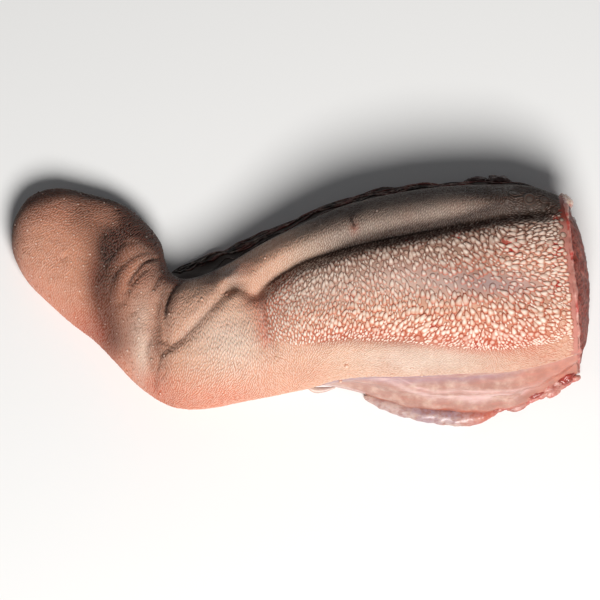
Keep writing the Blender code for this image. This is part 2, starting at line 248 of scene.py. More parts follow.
# Trimmings left at the cut, as in the solid, and two more at its far corner. Each has a centre, radii and
# a turn about Z in degrees.
Scrap = namedtuple("Scrap", "centre radii turn")
SCRAPS = (
    Scrap((158, -50, 8), (7, 4.5, 5), 30),
    Scrap((151, -52, 7), (6, 4, 4), 40),
    Scrap((140, -58, 6), (9, 4, 4), 20),
    Scrap((120, 71, 8), (8, 4, 5), -10),
    Scrap((106, 72, 6), (7, 3, 4), 5),
    Scrap((157.5, 43, 36), (3.8, 5.8, 9.0), -12),
    Scrap((160, 35.5, 38), (4.2, 6.2, 9.0), -6),
)

# Pale fat at the far corner of the cut
FAT = (
    Scrap((157.5, 50, 36), (4.6, 5.0, 8.0), -50),
    Scrap((155, 53, 34), (4.6, 2.6, 6.5), 50),
)

# Torn flesh along the foot of the near wall by the cut: place, reach and size of its lumps
TORN_FOOT = (
    ((104, -72, 3.0), 2.6),
    ((118, -69, 3.2), 3.2),
    ((130, -64, 4.2), 3.4),
    ((142, -59, 5.4), 3.6),
    ((151, -55, 7.0), 3.8),
    ((158, -51, 8.5), 3.4),
)
TORN_SPREAD = (1.5, 0.30, 0.25)  # how far lumps stray: along X in millimetres, then as shares of their size
TORN_RADII = ((1.3, 0.65, 0.50), (2.4, 1.0, 0.85))  # least and most, as shares of their size
TORN_TURN = (26, 12)  # their middle turn about Z, and how far they differ from it

# Lumps of trimmings and of fat: share of the radius, and how many fit across
SCRAP_LUMPS = (0.25, 1.7)
FAT_LUMPS = (0.30, 1.1)
SCRAP_ROUGHNESS = ((0.16, 4.0, 30), (0.07, 9.0, 40))  # share of the radius, how many fit across, and pattern
SCRAP_LOWEST = 0.4

# The cord of fat round the cut: radius, points around it, and its lumps as share of the radius and length
RIM_RADIUS = 1.2
RIM_AROUND = 12
RIM_LUMPS = ((0.7, 9.0), (0.5, 3.4))
CLEAR_OF_FLOOR = 0.05

# Fibres of the far wall: first station, steps of three rings, radii and lumps
STRANDS_FROM = 9.0
STRAND_STEPS = (8, 22)
STRAND_RADII = (0.25, 0.6)
STRAND_LUMPS = (0.3, 3.0)

# Which way the papillae lean, at places on the upper side: plan position and angle from +X to +Y
LEANS = (
    (-155, 45, 30), (-150, 22, 50), (-138, -2, 60), (-105, 0, 55), (-95, -20, 40), (-92, -46, 70),
    (-76, -62, 62), (-70, -20, 60), (-60, -56, 60), (-60, -44, 75), (-48, -28, 110), (-46, -14, 135),
    (-36, -52, 66), (-32, -32, 84), (-30, -16, 120), (-10, -48, 135), (-8, -30, 100), (0, -12, 60),
    (15, 6, 75), (35, 45, 60), (90, 52, 60), (60, 20, 62), (110, 28, 50), (20, -8, 110), (42, 3, 118),
    (60, 5, 125), (100, 12, 130), (60, -12, 105), (20, -30, 70), (60, -35, 58), (90, -42, 50),
    (10, -52, 40), (60, -52, 30), (125, 4, 170), (150, 0, 180), (132, 25, 210), (108, -26, 115),
    (132, -30, 125), (150, -25, 155),
)
LEAN_REACH = 18.0

# Blood showing between the papillae: plan position and radius
BLOOD_SPOTS = (
    (121, 17, 3.2), (124, 12, 2.8), (125, 16, 2.2), (149, 17, 2.6), (151, 9, 3.0), (150, 2, 2.2),
    (152, 13, 2.4), (151, -8, 2.6), (147, -13, 2.0), (30, -17, 2.0), (150, 33, 2.2), (78, -33, 3.0),
    (90, -29, 2.4), (104, -43, 2.2), (98, -33, 1.6), (84, -36, 1.8), (63, 18, 1.6), (92, 21, 1.6),
)

# Walled papillae at the two rear corners: plan position and diameter
WALLED = (
    (117, 52, 4.8), (126, 49, 6.4), (136, 46, 7.6), (145, 46, 6.4), (150, 39, 4.6), (110, 45, 3.6),
    (123, 43, 3.6), (129, 40, 3.4), (137, 40, 3.6), (144, 40, 3.6), (119, 34, 4.4), (157, -37, 4.6),
    (153, -40, 4.0), (148, -43, 4.4), (158, -43, 4.0), (143, -45, 3.6), (150, -47, 3.8), (136, -46, 3.4),
    (154, -30, 4.4),
)

# Larger buttons on the ridge, the pad and the near margin: plan position and diameter
LONE_BUTTONS = (
    (-58, -13, 2.2), (-43, -9, 2.2), (-68, -24, 1.6), (-72, -60, 1.6), (-59, -63, 1.5), (-45, -66, 1.4),
    (4, -2, 1.7), (10, 32, 1.6), (12, 30, 1.4), (-6, 26, 1.5), (46, 37, 1.8), (41, 44, 1.4),
    (64, 46, 1.7), (28, -52, 2.4), (24, -60, 2.0), (54, -55, 1.8), (66, -53, 1.6), (72, -61, 1.6),
    (-20, 12, 1.6), (-22, -66, 1.4),
)

# Where the coarse papillae stop on the near side, in plan
FIELD_NEAR_SIDE = ((-25, -37), (0, -42), (30, -40), (78, -43), (108, -45), (132, -43), (165, -36))

# Values that the skin stores at each place: how strongly each of its colours shows there
MASKS = (
    "tan", "salmon", "grey", "dun", "lilac", "shade", "pale", "blush", "blood", "wet", "plum", "streak",
    "sore", "meat", "fascia", "field", "rust", "bristle",
)
DARKEST = 0.97

# Soft oval patches of a colour: centre in plan, radii along X and Y, and strength
Patch = namedtuple("Patch", "centre radii strength")
PATCHES = {
    "grey": (
        Patch((-41, 6), (7, 6), 0.6),
        Patch((-66, 9), (14, 6), 0.4),
        # painted sheen on the near margin, together with the pale patch at the same place
        Patch((74, -45), (34, 8), 0.34),
    ),
    "dun": (
        Patch((-60, -14), (15, 17), 0.4),
    ),
    "lilac": (
        Patch((110, -9), (34, 8), 1.0),
        Patch((66, -5), (24, 8), 0.7),
    ),
    "shade": (
        Patch((-173, 34), (7, 20), 0.2),
        Patch((-166, 52), (14, 13), 0.5),
        Patch((-153, 62), (26, 13), 0.6),
        Patch((-130, 42), (10, 12), 0.35),
        Patch((-124, 18), (9, 30), 0.24),
        Patch((-113, 27), (6, 9), 0.25),
        Patch((-109, -12), (5, 22), 0.15),
        Patch((-106, 5), (7, 11), 0.15),
        Patch((-103, 37), (20, 13), 0.50),
        Patch((-84, -38), (5.5, 16), 0.45),
        Patch((-83, -35), (4, 8), 0.25),
        Patch((-74, 8), (12, 6), 0.35),
        Patch((-62, 5), (15, 5), 0.55),
        Patch((-53, -1), (5, 2.5), 0.6),
        Patch((-50, 6), (5, 5), 0.5),
        Patch((-38, -4), (7, 3), 0.70),
        Patch((-27, 12), (9, 9), 0.35),
        Patch((31, 40), (4, 6), 0.4),
        Patch((85, -52), (60, 9), 0.16),
        Patch((102, 2), (24, 9), 0.30),
        Patch((112, -8), (36, 9), 0.12),
        Patch((132, 44), (26, 12), 0.35),
        Patch((138, -24), (26, 14), 0.22),
        Patch((152, -56), (14, 10), 0.18),
    ),
    "pale": (
        Patch((-152, 14), (22, 24), 0.1),
        # these three: painted highlight along the lit crest of the neck
        Patch((-95, -28), (8, 18), 0.50),
        Patch((-93, -46), (5, 14), 0.6),
        Patch((-92, -14), (6, 16), 0.2),
        Patch((-54, -34), (16, 12), 0.1),
        Patch((-40, -38), (20, 16), 0.75),
        Patch((15, -13), (20, 12), 0.6),
        Patch((30.5, 38), (1.8, 1.8), 0.9),
        Patch((62, -8), (36, 11), 0.7),
        # painted sheen on the near margin
        Patch((72, -49), (36, 6), 0.95),
        Patch((85, -50), (70, 10), 0.2),
        Patch((132, 0), (22, 12), 0.35),
    ),
    "blush": (
        Patch((-125, -25), (12, 12), 0.8),
        Patch((-121, 4), (4, 13), 0.8),
        Patch((-116, -18), (5, 20), 0.5),
        Patch((-88, -62), (16, 10), 0.65),
        Patch((-33, 8), (6, 7), 0.35),
        Patch((-30, -14), (6, 7), 0.4),
        Patch((-20, -28), (5, 20), 0.4),
        Patch((32, 27), (2.5, 4), 0.6),
        Patch((120, -34), (40, 10), 0.35),
        Patch((142, -46), (26, 14), 0.35),
    ),
    "bristle": (
        Patch((-42, -42), (26, 20), 1.0),
        Patch((10, -44), (40, 8), 0.6),
    ),
}

# Colour along a fold: the fold's name, half width and strength
Line = namedtuple("Line", "fold width strength")
LINES = {
    "grey": (
        Line("small far ridge", 7.0, 0.45),
    ),
    "shade": (
        Line("long wrinkle line", 1.2, 0.55),
        Line("short wrinkle line", 1.6, 0.30),
        Line("third wrinkle line", 1.8, 0.30),
        Line("outer wrinkle line", 1.6, 0.25),
        Line("neck crease line", 1.2, 0.45),
        Line("neck crease line", 5.0, 0.25),
        Line("second line", 1.8, 0.25),
        Line("elbow line", 1.6, 0.20),
        Line("front line", 1.4, 0.20),
        Line("pad line", 1.3, 0.40),
        Line("pad line", 3.6, 0.15),
        Line("scar", 1.2, 0.6),
    ),
    "pale": (
        Line("hump line", 1.2, 0.8),
    ),
    "blush": (
        Line("hump line", 6.0, 0.35),
    ),
}


class TongueSettings(bpy.types.PropertyGroup):
    """Sizes and colours that a user would change."""

    fine_spacing: FloatProperty(
        name="Fine spacing", description="Distance between the finest papillae", default=1.62 * MM,
        unit="LENGTH",
    )
    coarse_spacing: FloatProperty(
        name="Coarse spacing", description="Distance between the papillae of the hump", default=3.55 * MM,
        unit="LENGTH",
    )
    buttons: IntProperty(
        name="Buttons", description="Small round papillae of the tip and neck",
        default=95, min=0,
    )
    discs: IntProperty(name="Discs", description="Flat round papillae of the hump", default=70, min=0)
    strands: IntProperty(name="Strands", description="Fibres on the far wall", default=70, min=1)
    torn_lumps: IntProperty(
        name="Torn lumps", description="Lumps of torn flesh along the foot",
        default=17, min=2,
    )
    seed: IntProperty(name="Seed", description="Start of the random draws", default=7)
    cream: FloatVectorProperty(
        name="Cream", description="Skin of the front and hump", default=(0.67, 0.425, 0.295),
        subtype="COLOR",
    )
    tan: FloatVectorProperty(
        name="Tan", description="Skin of the tip and neck", default=(0.62, 0.265, 0.155), subtype="COLOR"
    )
    salmon: FloatVectorProperty(
        name="Salmon", description="Near edge of the tip and neck", default=(0.62, 0.20, 0.115),
        subtype="COLOR",
    )
    grey: FloatVectorProperty(
        name="Grey", description="Far ridge", default=(0.30, 0.245, 0.205), subtype="COLOR"
    )
    # Dun is partly the skin's own duller tone and partly painted shade of the hump's slope that faces away
    # from the light.
    dun: FloatVectorProperty(
        name="Dun", description="Skin between the papillae, towards the groove", default=(0.43, 0.27, 0.20),
        subtype="COLOR",
    )
    lilac: FloatVectorProperty(
        name="Lilac", description="Bare patch in the middle of the hump", default=(0.46, 0.345, 0.34),
        subtype="COLOR",
    )
    # Brown is the painted shade colour, with the dark pigment of the grooves in it: the shade mask lays it
    # on.
    brown: FloatVectorProperty(
        name="Brown", description="Grooves and far edge", default=(0.020, 0.010, 0.007), subtype="COLOR"
    )
    pale: FloatVectorProperty(
        name="Pale", description="Pale patches of the skin", default=(0.70, 0.54, 0.44), subtype="COLOR"
    )
    blush: FloatVectorProperty(
        name="Blush", description="Reddened skin round the papillae", default=(0.50, 0.10, 0.048),
        subtype="COLOR",
    )
    # Painted highlight colour for the streaks of the wet wall.
    painted_sheen: FloatVectorProperty(
        name="Sheen", description="Glossy streak of the wet wall", default=(0.80, 0.57, 0.55),
        subtype="COLOR",
    )
    sore: FloatVectorProperty(
        name="Sore", description="Redder patches of the wet wall", default=(0.32, 0.135, 0.105),
        subtype="COLOR",
    )
    # Umber: dark red-brown of the rings and gaps of the papillae by the groove, partly painted shade in the
    # crevices.
    umber: FloatVectorProperty(
        name="Umber", description="Skin round the papillae by the groove", default=(0.13, 0.042, 0.026),
        subtype="COLOR",
    )
    blood: FloatVectorProperty(
        name="Blood", description="Spots of blood", default=(0.42, 0.02, 0.012), subtype="COLOR"
    )
    membrane: FloatVectorProperty(
        name="Membrane", description="Wet wall under the near edge", default=(0.50, 0.29, 0.235),
        subtype="COLOR",
    )
    bluish: FloatVectorProperty(
        name="Bluish", description="Loose membrane at the foot", default=(0.34, 0.22, 0.26), subtype="COLOR"
    )
    meat: FloatVectorProperty(
        name="Meat", description="Cut muscle", default=(0.24, 0.042, 0.028), subtype="COLOR"
    )
    fascia: FloatVectorProperty(
        name="Fascia", description="Pale layer between skin and meat", default=(0.55, 0.235, 0.19),
        subtype="COLOR",
    )
    papilla: FloatVectorProperty(
        name="Papilla", description="Horny body of a papilla", default=(0.86, 0.70, 0.60), subtype="COLOR"
    )


class StageSettings(bpy.types.PropertyGroup):
    """The floor, the lights and the camera."""

    floor: FloatVectorProperty(
        name="Floor", description="Floor colour",
        default=(0.86, 0.86, 0.86), subtype="COLOR",
    )
    key: FloatProperty(name="Key", description="Power of the large soft light", default=55.0, unit="POWER")
    fill: FloatProperty(name="Fill", description="Brightness of the surroundings", default=0.12, min=0.0)
    elevation: FloatProperty(
        name="Elevation", description="Height of the camera above the horizon", default=math.radians(76.0),
        subtype="ANGLE",
    )
    lens: FloatProperty(name="Lens", description="Focal length in millimetres", default=300.0, min=10.0)
    frame_width: FloatProperty(
        name="Frame width", description="Width of the picture at the object", default=0.360, unit="LENGTH"
    )


def tongue_settings():
    return bpy.context.scene.beef_tongue


def stage_settings():
    return bpy.context.scene.beef_tongue_stage


# Curves and fields


def spline(values, where):
    """A smooth curve through evenly numbered values, read at the numbers in where."""
    values = np.asarray(values, float)
    ends = np.concatenate([[2 * values[0] - values[1]], values, [2 * values[-1] - values[-2]]])
    start = np.clip(np.floor(where).astype(int), 0, len(values) - 2)
    t = (where - start).reshape((-1,) + (1,) * (values.ndim - 1))
    before, left, right, after = (ends[start + i] for i in range(4))
    return left + 0.5 * t * (
        right - before
        + t * (2 * before - 5 * left + 4 * right - after)
        + t * t * (3 * (left - right) + after - before)
    )


def closed_spline(points, where):
    """A closed smooth curve through points, read at the fractional numbers in where."""
    points = np.asarray(points, float)
    wrapped = np.concatenate([points[-2:], points, points[:3]])
    chord = np.sqrt(np.maximum(np.linalg.norm(np.diff(wrapped, axis=0), axis=1), 1e-6))
    slope = np.diff(wrapped, axis=0) / chord[:, None]
    before, after = chord[:-1, None], chord[1:, None]
    tangent = (slope[:-1] * after + slope[1:] * before) / (before + after)
    start = np.floor(where).astype(int)
    t = (where - start)[:, None]
    step = chord[start + 2][:, None]
    left, right = wrapped[start + 2], wrapped[start + 3]
    leave, arrive = tangent[start + 1] * step, tangent[start + 2] * step
    return (
        (2 * t**3 - 3 * t**2 + 1) * left
        + (t**3 - 2 * t**2 + t) * leave
        + (3 * t**2 - 2 * t**3) * right
        + (t**3 - t**2) * arrive
    )


def ramp(value, low, high):
    """0 at low and 1 at high, with a soft start and end."""
    t = np.clip((np.asarray(value, float) - low) / (high - low), 0, 1)
    return t * t * (3 - 2 * t)


def fade(distance, full, gone):
    """1 up to the distance full, falling to 0 at the distance gone."""
    return np.clip((gone - distance) / (gone - full), 0, 1)


def bell(distance, width):
    return np.exp(-((distance / width) ** 2))


def distance_to(course, plan):
    """Distance from each plan point to a course of straight runs."""
    nearest = np.full(len(plan), np.inf)
    for start, end in zip(course[:-1], course[1:]):
        start, run = np.array(start, float), np.subtract(end, start)
        share = np.clip((plan - start) @ run / (run @ run), 0, 1)
        nearest = np.minimum(nearest, np.linalg.norm(plan - start - share[:, None] * run, axis=1))
    return nearest


def course_taper(course, plan):
    """1 along the middle of a course, falling to 0 at its two ends."""
    course = np.asarray(course, float)
    lengths = np.concatenate([[0], np.cumsum(np.linalg.norm(np.diff(course, axis=0), axis=1))])
    nearest, where = np.full(len(plan), np.inf), np.zeros(len(plan))
    for start, end, before in zip(course[:-1], course[1:], lengths):
        run = end - start
        share = np.clip((plan - start) @ run / (run @ run), 0, 1)
        distance = np.linalg.norm(plan - start - share[:, None] * run, axis=1)
        where = np.where(distance < nearest, (before + share * np.linalg.norm(run)) / lengths[-1], where)
        nearest = np.minimum(nearest, distance)
    return ramp(np.minimum(where, 1 - where), 0.0, 0.22)


def smooth_course(course, points_per_run=5):
    where = np.linspace(0, len(course) - 1, (len(course) - 1) * points_per_run + 1)
    return spline(course, where)


def waves(points, size, length, pattern):
    """Smooth unevenness at each point, between about -size and size."""
    shift = Vector(PATTERN_STEP) * pattern
    return np.array([size * noise.noise(Vector(p) / length + shift) for p in points])


# Form of the body


def station_values(where):
    """Every column of the station table at fractional station numbers."""
    far = np.array([s.far for s in STATIONS], float)
    near = np.array([s.near for s in STATIONS], float)
    sizes = np.array([s[2:] for s in STATIONS], float)
    return spline(far, where), spline(near, where), spline(sizes, where)


def section_outline(width, edge, crown, sole, far_flare, near_flare):
    """Points that a section passes through, as distance from the far edge and height."""
    toe = min(TOE, TOE_SHARE * width)
    tuck = min(WALL_TUCK, WALL_TUCK_SHARE * width)
    upper = [(share * width, edge + rise * (crown - edge)) for share, rise in UPPER_SIDE]
    near_wall = [
        (width + flare * near_flare - draw * tuck, sole + rise * (edge - sole)) for rise, flare, draw in WALL
    ]
    far_wall = [
        (draw * tuck - flare * far_flare, sole + rise * (edge - sole)) for rise, flare, draw in reversed(WALL)
    ]
    underside = [(width + near_flare - toe, sole)]
    underside += [(share * width, sole) for share in SOLE]
    underside += [(toe - far_flare, sole)]
    return upper + near_wall + underside + far_wall


def fine_folds():
    """The fine folds and the run of fine lines in the valley."""
    folds = list(FINE_FOLDS.values())
    for step in VALLEY_LINE_STEPS:
        course = tuple((x + step, y) for x, y in VALLEY_LINES.course)
        folds.append(Fold(VALLEY_LINES.depth, VALLEY_LINES.width, course))
    return folds


def relief(plan):
    """Height that the folds and swellings add to the upper side."""
    height = np.zeros(len(plan))
    for fold in FOLDS.values():
        height -= fold.depth * bell(distance_to(smooth_course(fold.course), plan), fold.width)
    for fold in fine_folds():
        course = smooth_course(fold.course)
        height -= fold.depth * bell(distance_to(course, plan), fold.width) * course_taper(course, plan)
    for swelling in SWELLINGS.values():
        offset = (plan - np.array(swelling.centre)) / np.array(swelling.radii)
        height += swelling.height * np.exp(-(offset**2).sum(axis=1))
    return height


def wet_rise(along):
    """How far up the wet wall reaches past the edge of the upper side, as a share of the width."""
    (start, risen), (falling, gone) = WET_RISE_ENDS
    return WET_RISE * ramp(along, start, risen) * (1 - ramp(along, falling, gone))


def wall_shape(number, spans):
    """How far the long folds of the near wall stand out, for one ring."""
    down = (spans - UPPER_SPANS * (1 - wet_rise(number))) / WALL_SPANS
    strength = float(ramp(number, *WALL_FOLDS_FROM))
    wander = 0.04 * math.sin(number * 2.1)
    return strength * sum(height * bell(down - place - wander, width) for place, height, width in WALL_FOLDS)


def body_rings(where, spans):
    """Rings of the surface from the tip to the cut rim, as an array of rings, points and XYZ."""
    far, near, sizes = station_values(where)
    on_top = fade(np.abs(spans - UPPER_SPANS / 2), *TOP_REACH)
    on_foot = sum(fade(np.abs(spans - foot), *FOOT_REACH) for foot in FOOT_SPANS)
    on_meat = ramp(spans, FAR_FOOT_SPAN - 1.0, FAR_FOOT_SPAN) * (1 - ramp(spans, ALL_SPANS - 1, ALL_SPANS))
    rings = []
    for number, far_edge, near_edge, size in zip(where, far, near, sizes):
        _, crown, sole, far_flare, near_flare = size
        width = np.linalg.norm(near_edge - far_edge)
        across = (near_edge - far_edge) / width
        outline = closed_spline(section_outline(width, *size), spans)
        plan = far_edge + outline[:, :1] * across
        height = np.maximum(outline[:, 1], sole)
        fullness = min(1.0, (crown - sole) / FULL_RELIEF_FROM)
        bump = relief(plan) + waves(np.c_[plan, height], *UPPER_WAVES, 1)
        bump += waves(np.c_[plan, height], *SKIN_WAVES, 4)
        height = np.maximum(height + fullness * on_top * bump, sole)
        outward = np.sign(outline[:, 0] - width / 2)
        flare = np.where(outward > 0, near_flare, far_flare)
        ragged = waves(np.c_[plan, height], *WALL_WAVES, 2) * np.maximum(flare, 0)
        fibres = waves(np.c_[plan[:, 0] / 4, plan[:, 1] / 4, height], *MEAT_WAVES, 5) * on_meat
        push = on_foot * ragged + 2 * fibres * (flare > 0) + wall_shape(number, spans)
        plan = plan + np.outer(push * outward, across)
        lean = np.clip((number - CUT_LEAN_FROM) / (LAST - CUT_LEAN_FROM), 0, 1) ** 2
        plan[:, 0] += CUT_FOOT * lean * (1 - height / crown)
        rings.append(np.c_[plan, height])
    return np.array(rings)


def cut_face_rings(rim):
    """Rings that close the cut root: a step down from the skin, then the uneven meat."""
    middle = rim.mean(axis=0)
    step_share, step_depth = CUT_STEP
    rings = []
    shares = 1 - (np.arange(1, CUT_RINGS + 1) / (CUT_RINGS + 1)) ** 1.15
    for share in shares:
        ring = middle + share * (rim - middle)
        hold = 1 - share**CUT_RIM_HOLD
        ring[:, 0] += CUT_BULGE * (1 - share**CUT_ROUNDNESS)
        ring[:, 0] += waves(ring, *CUT_WAVES, 3) * hold
        for pattern, (size, length) in enumerate(CUT_FINE_WAVES):
            ring[:, 0] += waves(ring, size, length, 6 + pattern) * min(1, 3 * hold)
        ring[:, 0] -= step_depth * bell(share - step_share, 0.035)
        rings.append(ring)
    return np.array(rings), middle + np.array([CUT_BULGE, 0, 0]), shares


Body = namedtuple("Body", "points normals along across cut shift apex centre")


def grid_normals(points):
    """Outward unit normals of a grid of rings that run from the far edge over the top."""
    around = np.roll(points, -1, axis=1) - np.roll(points, 1, axis=1)
    along = np.gradient(points, axis=0)
    normals = np.cross(along, -around)
    length = np.linalg.norm(normals, axis=2, keepdims=True)
    return normals / np.maximum(length, 1e-9)


@lru_cache(maxsize=1)
def body_form():
    """The fine surface as a grid of rings, its place over the solid and what is known at each point."""
    along = np.concatenate([k + np.arange(1, n + 1) / n for k, n in enumerate(RINGS_PER_STATION)])
    spans = np.concatenate([i + np.arange(n) / n for i, n in enumerate(SPAN_POINTS)])
    skin = body_rings(along, spans)
    face, centre, shares = cut_face_rings(skin[-1])
    points = np.concatenate([skin, face])
    apex = np.array([*STATIONS[0].far, STATIONS[0].edge], float)
    along = np.concatenate([along, np.full(len(face), float(LAST))])
    cut = np.concatenate([np.zeros(len(skin)), 1 - shares])
    across = spans / UPPER_SPANS
    across = np.where(spans > UPPER_SPANS, 1 + (spans - UPPER_SPANS) / WALL_SPANS, across)
    across = np.where(spans > FAR_FOOT_SPAN, (spans - ALL_SPANS) / WALL_SPANS, across)
    low, high = np.array(CAD_BOX[0]) / MM, np.array(CAD_BOX[1]) / MM
    everything = points.reshape(-1, 3)
    mine_low = np.minimum(everything.min(axis=0), apex)
    mine_high = np.maximum(everything.max(axis=0), centre)
    shift = np.array([(low[0] + high[0] - mine_low[0] - mine_high[0]) / 2, high[1] - mine_high[1], 0.0])
    normals = grid_normals(points)
    return Body(points, normals, along, across, cut, shift, apex, centre)


# What the skin looks like at a place


def patch(plan, centre, radii):
    """A soft-edged oval patch."""
    return np.exp(-(((plan - centre) / radii) ** 2).sum(axis=1))


def line_offset(line, plan):
    """How far each place lies from a line along X, positive towards the near side."""
    xs, ys = np.array(line, float).T
    return np.interp(plan[:, 0], xs, ys) - plan[:, 1]


def course_bell(name, plan, width):
    course = smooth_course((FOLDS.get(name) or FINE_FOLDS[name]).course)
    return bell(distance_to(course, plan), width) * course_taper(course, plan)


def past_groove(plan):
    """How far each place lies from the far groove, positive towards the near side."""
    return line_offset(FOLDS["far groove"].course, plan)


def marks(colour, plan):
    """What the patches and lines of one colour add up to at each place."""
    spots = sum(spot.strength * patch(plan, spot.centre, spot.radii) for spot in PATCHES[colour])
    lines = (line.strength * course_bell(line.fold, plan, line.width) for line in LINES.get(colour, ()))
    return spots + sum(lines)


def neck_share(along):
    """1 on the neck, 0 on the tip and past the bend."""
    return ramp(along, 4.0, 6.5) * (1 - ramp(along, 8.5, 10.5))


def ridge_share(plan, along):
    """1 on the ridge beyond the far groove."""
    return (1 - ramp(past_groove(plan), -4, 2)) * ramp(along, 10.5, 13.0)


def shade_mask(plan, along, across, cut):
    """Painted shade, with some of the skin's own dark pigment in the grooves: the grooves, the far edge, the
    apex, the folds of the neck, a little of the cut face, and the far wall beyond the edge.
    """
    x = plan[:, 0]
    groove = past_groove(plan)
    shade = 0.96 * bell(groove - 0.6, 2.3 + 3.2 * ramp(x, 0, 60)) + 0.50 * bell(groove - 6.0, 5.0)
    shade *= ramp(x, -28, -14) * (1 - 0.45 * ramp(x, 105, 140))
    shade += 0.40 * bell(groove + 3.0, 5.0) * ramp(x, 5, 35)
    shade += 0.35 * ridge_share(plan, along) * ramp(x, 85, 130)
    shade += 0.92 * (1 - ramp(across, 0.14, 0.37 - 0.07 * ramp(x, 60, 90))) * ramp(x, -20, 20)
    shade += 0.97 * (1 - ramp(across, 0.02, 0.17)) * ramp(along, 9.0, 11.0)
    shade += 0.92 * (1 - ramp(across, 0.0, 0.30)) * (1 - ramp(along, 8.5, 10.5))
    shade += 0.60 * (1 - ramp(across, 0.0, 0.14)) * (1 - ramp(along, 4.0, 6.0))
    shade += 0.65 * (1 - ramp(along, 0.4, 2.3))
    shade += 0.74 * neck_share(along) * (1 - ramp(across, 0.08, 0.60))
    shade += 0.74 * course_bell("valley", plan, 10.0) * (1 - 0.15 * ramp(across, 0.6, 1.0))
    shade += 0.25 * bell(line_offset(FIELD_NEAR_SIDE, plan), 3.0) * ramp(x, 0, 20) * (1 - ramp(x, 60, 80))
    shade += marks("shade", plan)
    on_top = (across >= 0) & (across <= 1)
    # The far wall beyond the upper side is painted almost black, as the shade that it stands in.
    beyond = (across < 0) & (cut == 0)
    shade = np.clip(shade, 0, DARKEST) * on_top * (1 - 0.75 * ramp(cut, 0.01, 0.04))
    return shade + DARKEST * beyond * (1 - 0.5 * ramp(along, 19.0, 19.7))


def wall_masks(x, along, across, cut):
    """The wet wall: its violet bands, the upper one partly painted shade under the edge, its sore parts, and
    pale streaks painted along it as highlights.
    """
    edge = 1.0 - wet_rise(along)
    down = across - edge + 0.03 * np.sin(x / 13.0)
    wet = ramp(across, edge, edge + 0.004 + 0.09 * ramp(x, 80, 150)) * (cut == 0) * ramp(along, 13.4, 14.4)
    # Violet band just under the edge: the membrane's own violet tone, darkened as painted shade under the
    # overhanging edge.
    violet = 0.85 * bell(down - 0.12, 0.11) * (1 - ramp(x, 70, 105))
    violet += 0.6 * bell(down - 0.34, 0.05) * (1 - ramp(x, 105, 140))
    # Painted highlight: pale streaks along the wall where the wet surface would reflect the lamp.
    centre = 0.28 + 0.34 * ramp(x, 34, 90) + 0.015 * np.sin(x / 5.0)
    highlight = 0.65 * bell(down - centre, 0.050) + 0.5 * bell(down - centre + 0.10, 0.018) * ramp(x, 50, 70)
    highlight *= ramp(x, 30, 44) * (1 - ramp(x, 125, 150))
    sore = 0.8 * bell(down - 0.84, 0.06) + 0.6 * ramp(x, 115, 160) * ramp(down, 0.05, 0.5)
    return {"wet": wet, "plum": wet * violet, "streak": wet * highlight, "sore": wet * sore}


def meat_masks(along, across, cut):
    """Bare meat of the cut face, far wall and underside, and the pale fascia round the face."""
    far_meat = (across < -0.08) * ramp(along, 8.0, 10.0)
    underside = ((across > 1.93) | (across < -1.0)) * 0.6
    face = ramp(cut, 0.025, 0.04)
    meat = np.maximum(face, (cut == 0) * np.maximum(far_meat, underside))
    fascia = np.maximum(ramp(cut, 0.0, 0.02), ramp(along, 19.55, 19.85)) * (1 - face)
    return {"meat": meat, "fascia": fascia}


def skin_masks(plan, along, across, cut):
    """How strongly each colour shows at each place, from 0 to 1."""
    x = plan[:, 0]
    groove = past_groove(plan)
    on_top = (across >= 0) & (across <= 1)
    body = ramp(along, 11.0, 14.0)
    field = field_share(plan, along)
    neck = neck_share(along) * (1 - ramp(across, 0.15, 0.5))
    masks = {"field": field, "lilac": marks("lilac", plan), "bristle": marks("bristle", plan)}
    masks["tan"] = 1 - 0.92 * ramp(along, 5.5, 12.0)
    masks["salmon"] = ramp(across, 0.60, 1.0) * (1 - ramp(along, 11.0, 15.5)) * 0.95
    masks["grey"] = 0.9 * ridge_share(plan, along) * ramp(x, -30, 30) + 0.55 * neck + marks("grey", plan)
    # Dun: darker towards the groove, partly own tone and partly painted shade of the slope facing away from
    # the light.
    masks["dun"] = (1 - ramp(groove, 14, 42)) * field + marks("dun", plan)
    masks["shade"] = shade_mask(plan, along, across, cut)
    masks["pale"] = np.clip(marks("pale", plan), 0, 1) * on_top
    near_rows = bell(line_offset(FIELD_NEAR_SIDE, plan) + 3.0, 4.5)
    near_rows *= ramp(x, -10, 20) * (1 - ramp(x, 120, 150))
    masks["blush"] = np.clip(0.8 * near_rows + marks("blush", plan), 0, 1) * on_top
    blood = sum(bell(np.linalg.norm(plan - (spot_x, spot_y), axis=1), r) for spot_x, spot_y, r in BLOOD_SPOTS)
    masks["blood"] = np.clip(blood, 0, 1) * on_top
    rust = ramp(groove, 14, 32) * body + 0.6 * (1 - body)
    masks["rust"] = np.maximum(rust, 0.9 * ramp(x, -85, -70) * (1 - ramp(x, -15, 5)))
    masks.update(wall_masks(x, along, across, cut))
    masks.update(meat_masks(along, across, cut))
    return {name: np.clip(masks[name], 0, 1) for name in MASKS}


def field_share(plan, along):
    """1 where the coarse papillae of the hump stand, 0 outside their field."""
    from_near_side = -line_offset(FIELD_NEAR_SIDE, plan)
    return ramp(past_groove(plan), 0.0, 3.5) * ramp(from_near_side, -2.5, 2.0) * ramp(along, 12.6, 13.4)


def lean_direction(plan):
    """Unit plan vectors that the papillae lean along."""
    total = np.zeros((len(plan), 2))
    for x, y, angle in LEANS:
        weight = bell(np.linalg.norm(plan - (x, y), axis=1), LEAN_REACH) + 1e-9
        total += weight[:, None] * (math.cos(math.radians(angle)), math.sin(math.radians(angle)))
    return total / np.maximum(np.linalg.norm(total, axis=1, keepdims=True), 1e-9)


# Meshes


def add_object(name, mesh):
    obj = bpy.data.objects.new(name, mesh)
    bpy.context.scene.collection.objects.link(obj)
    return obj


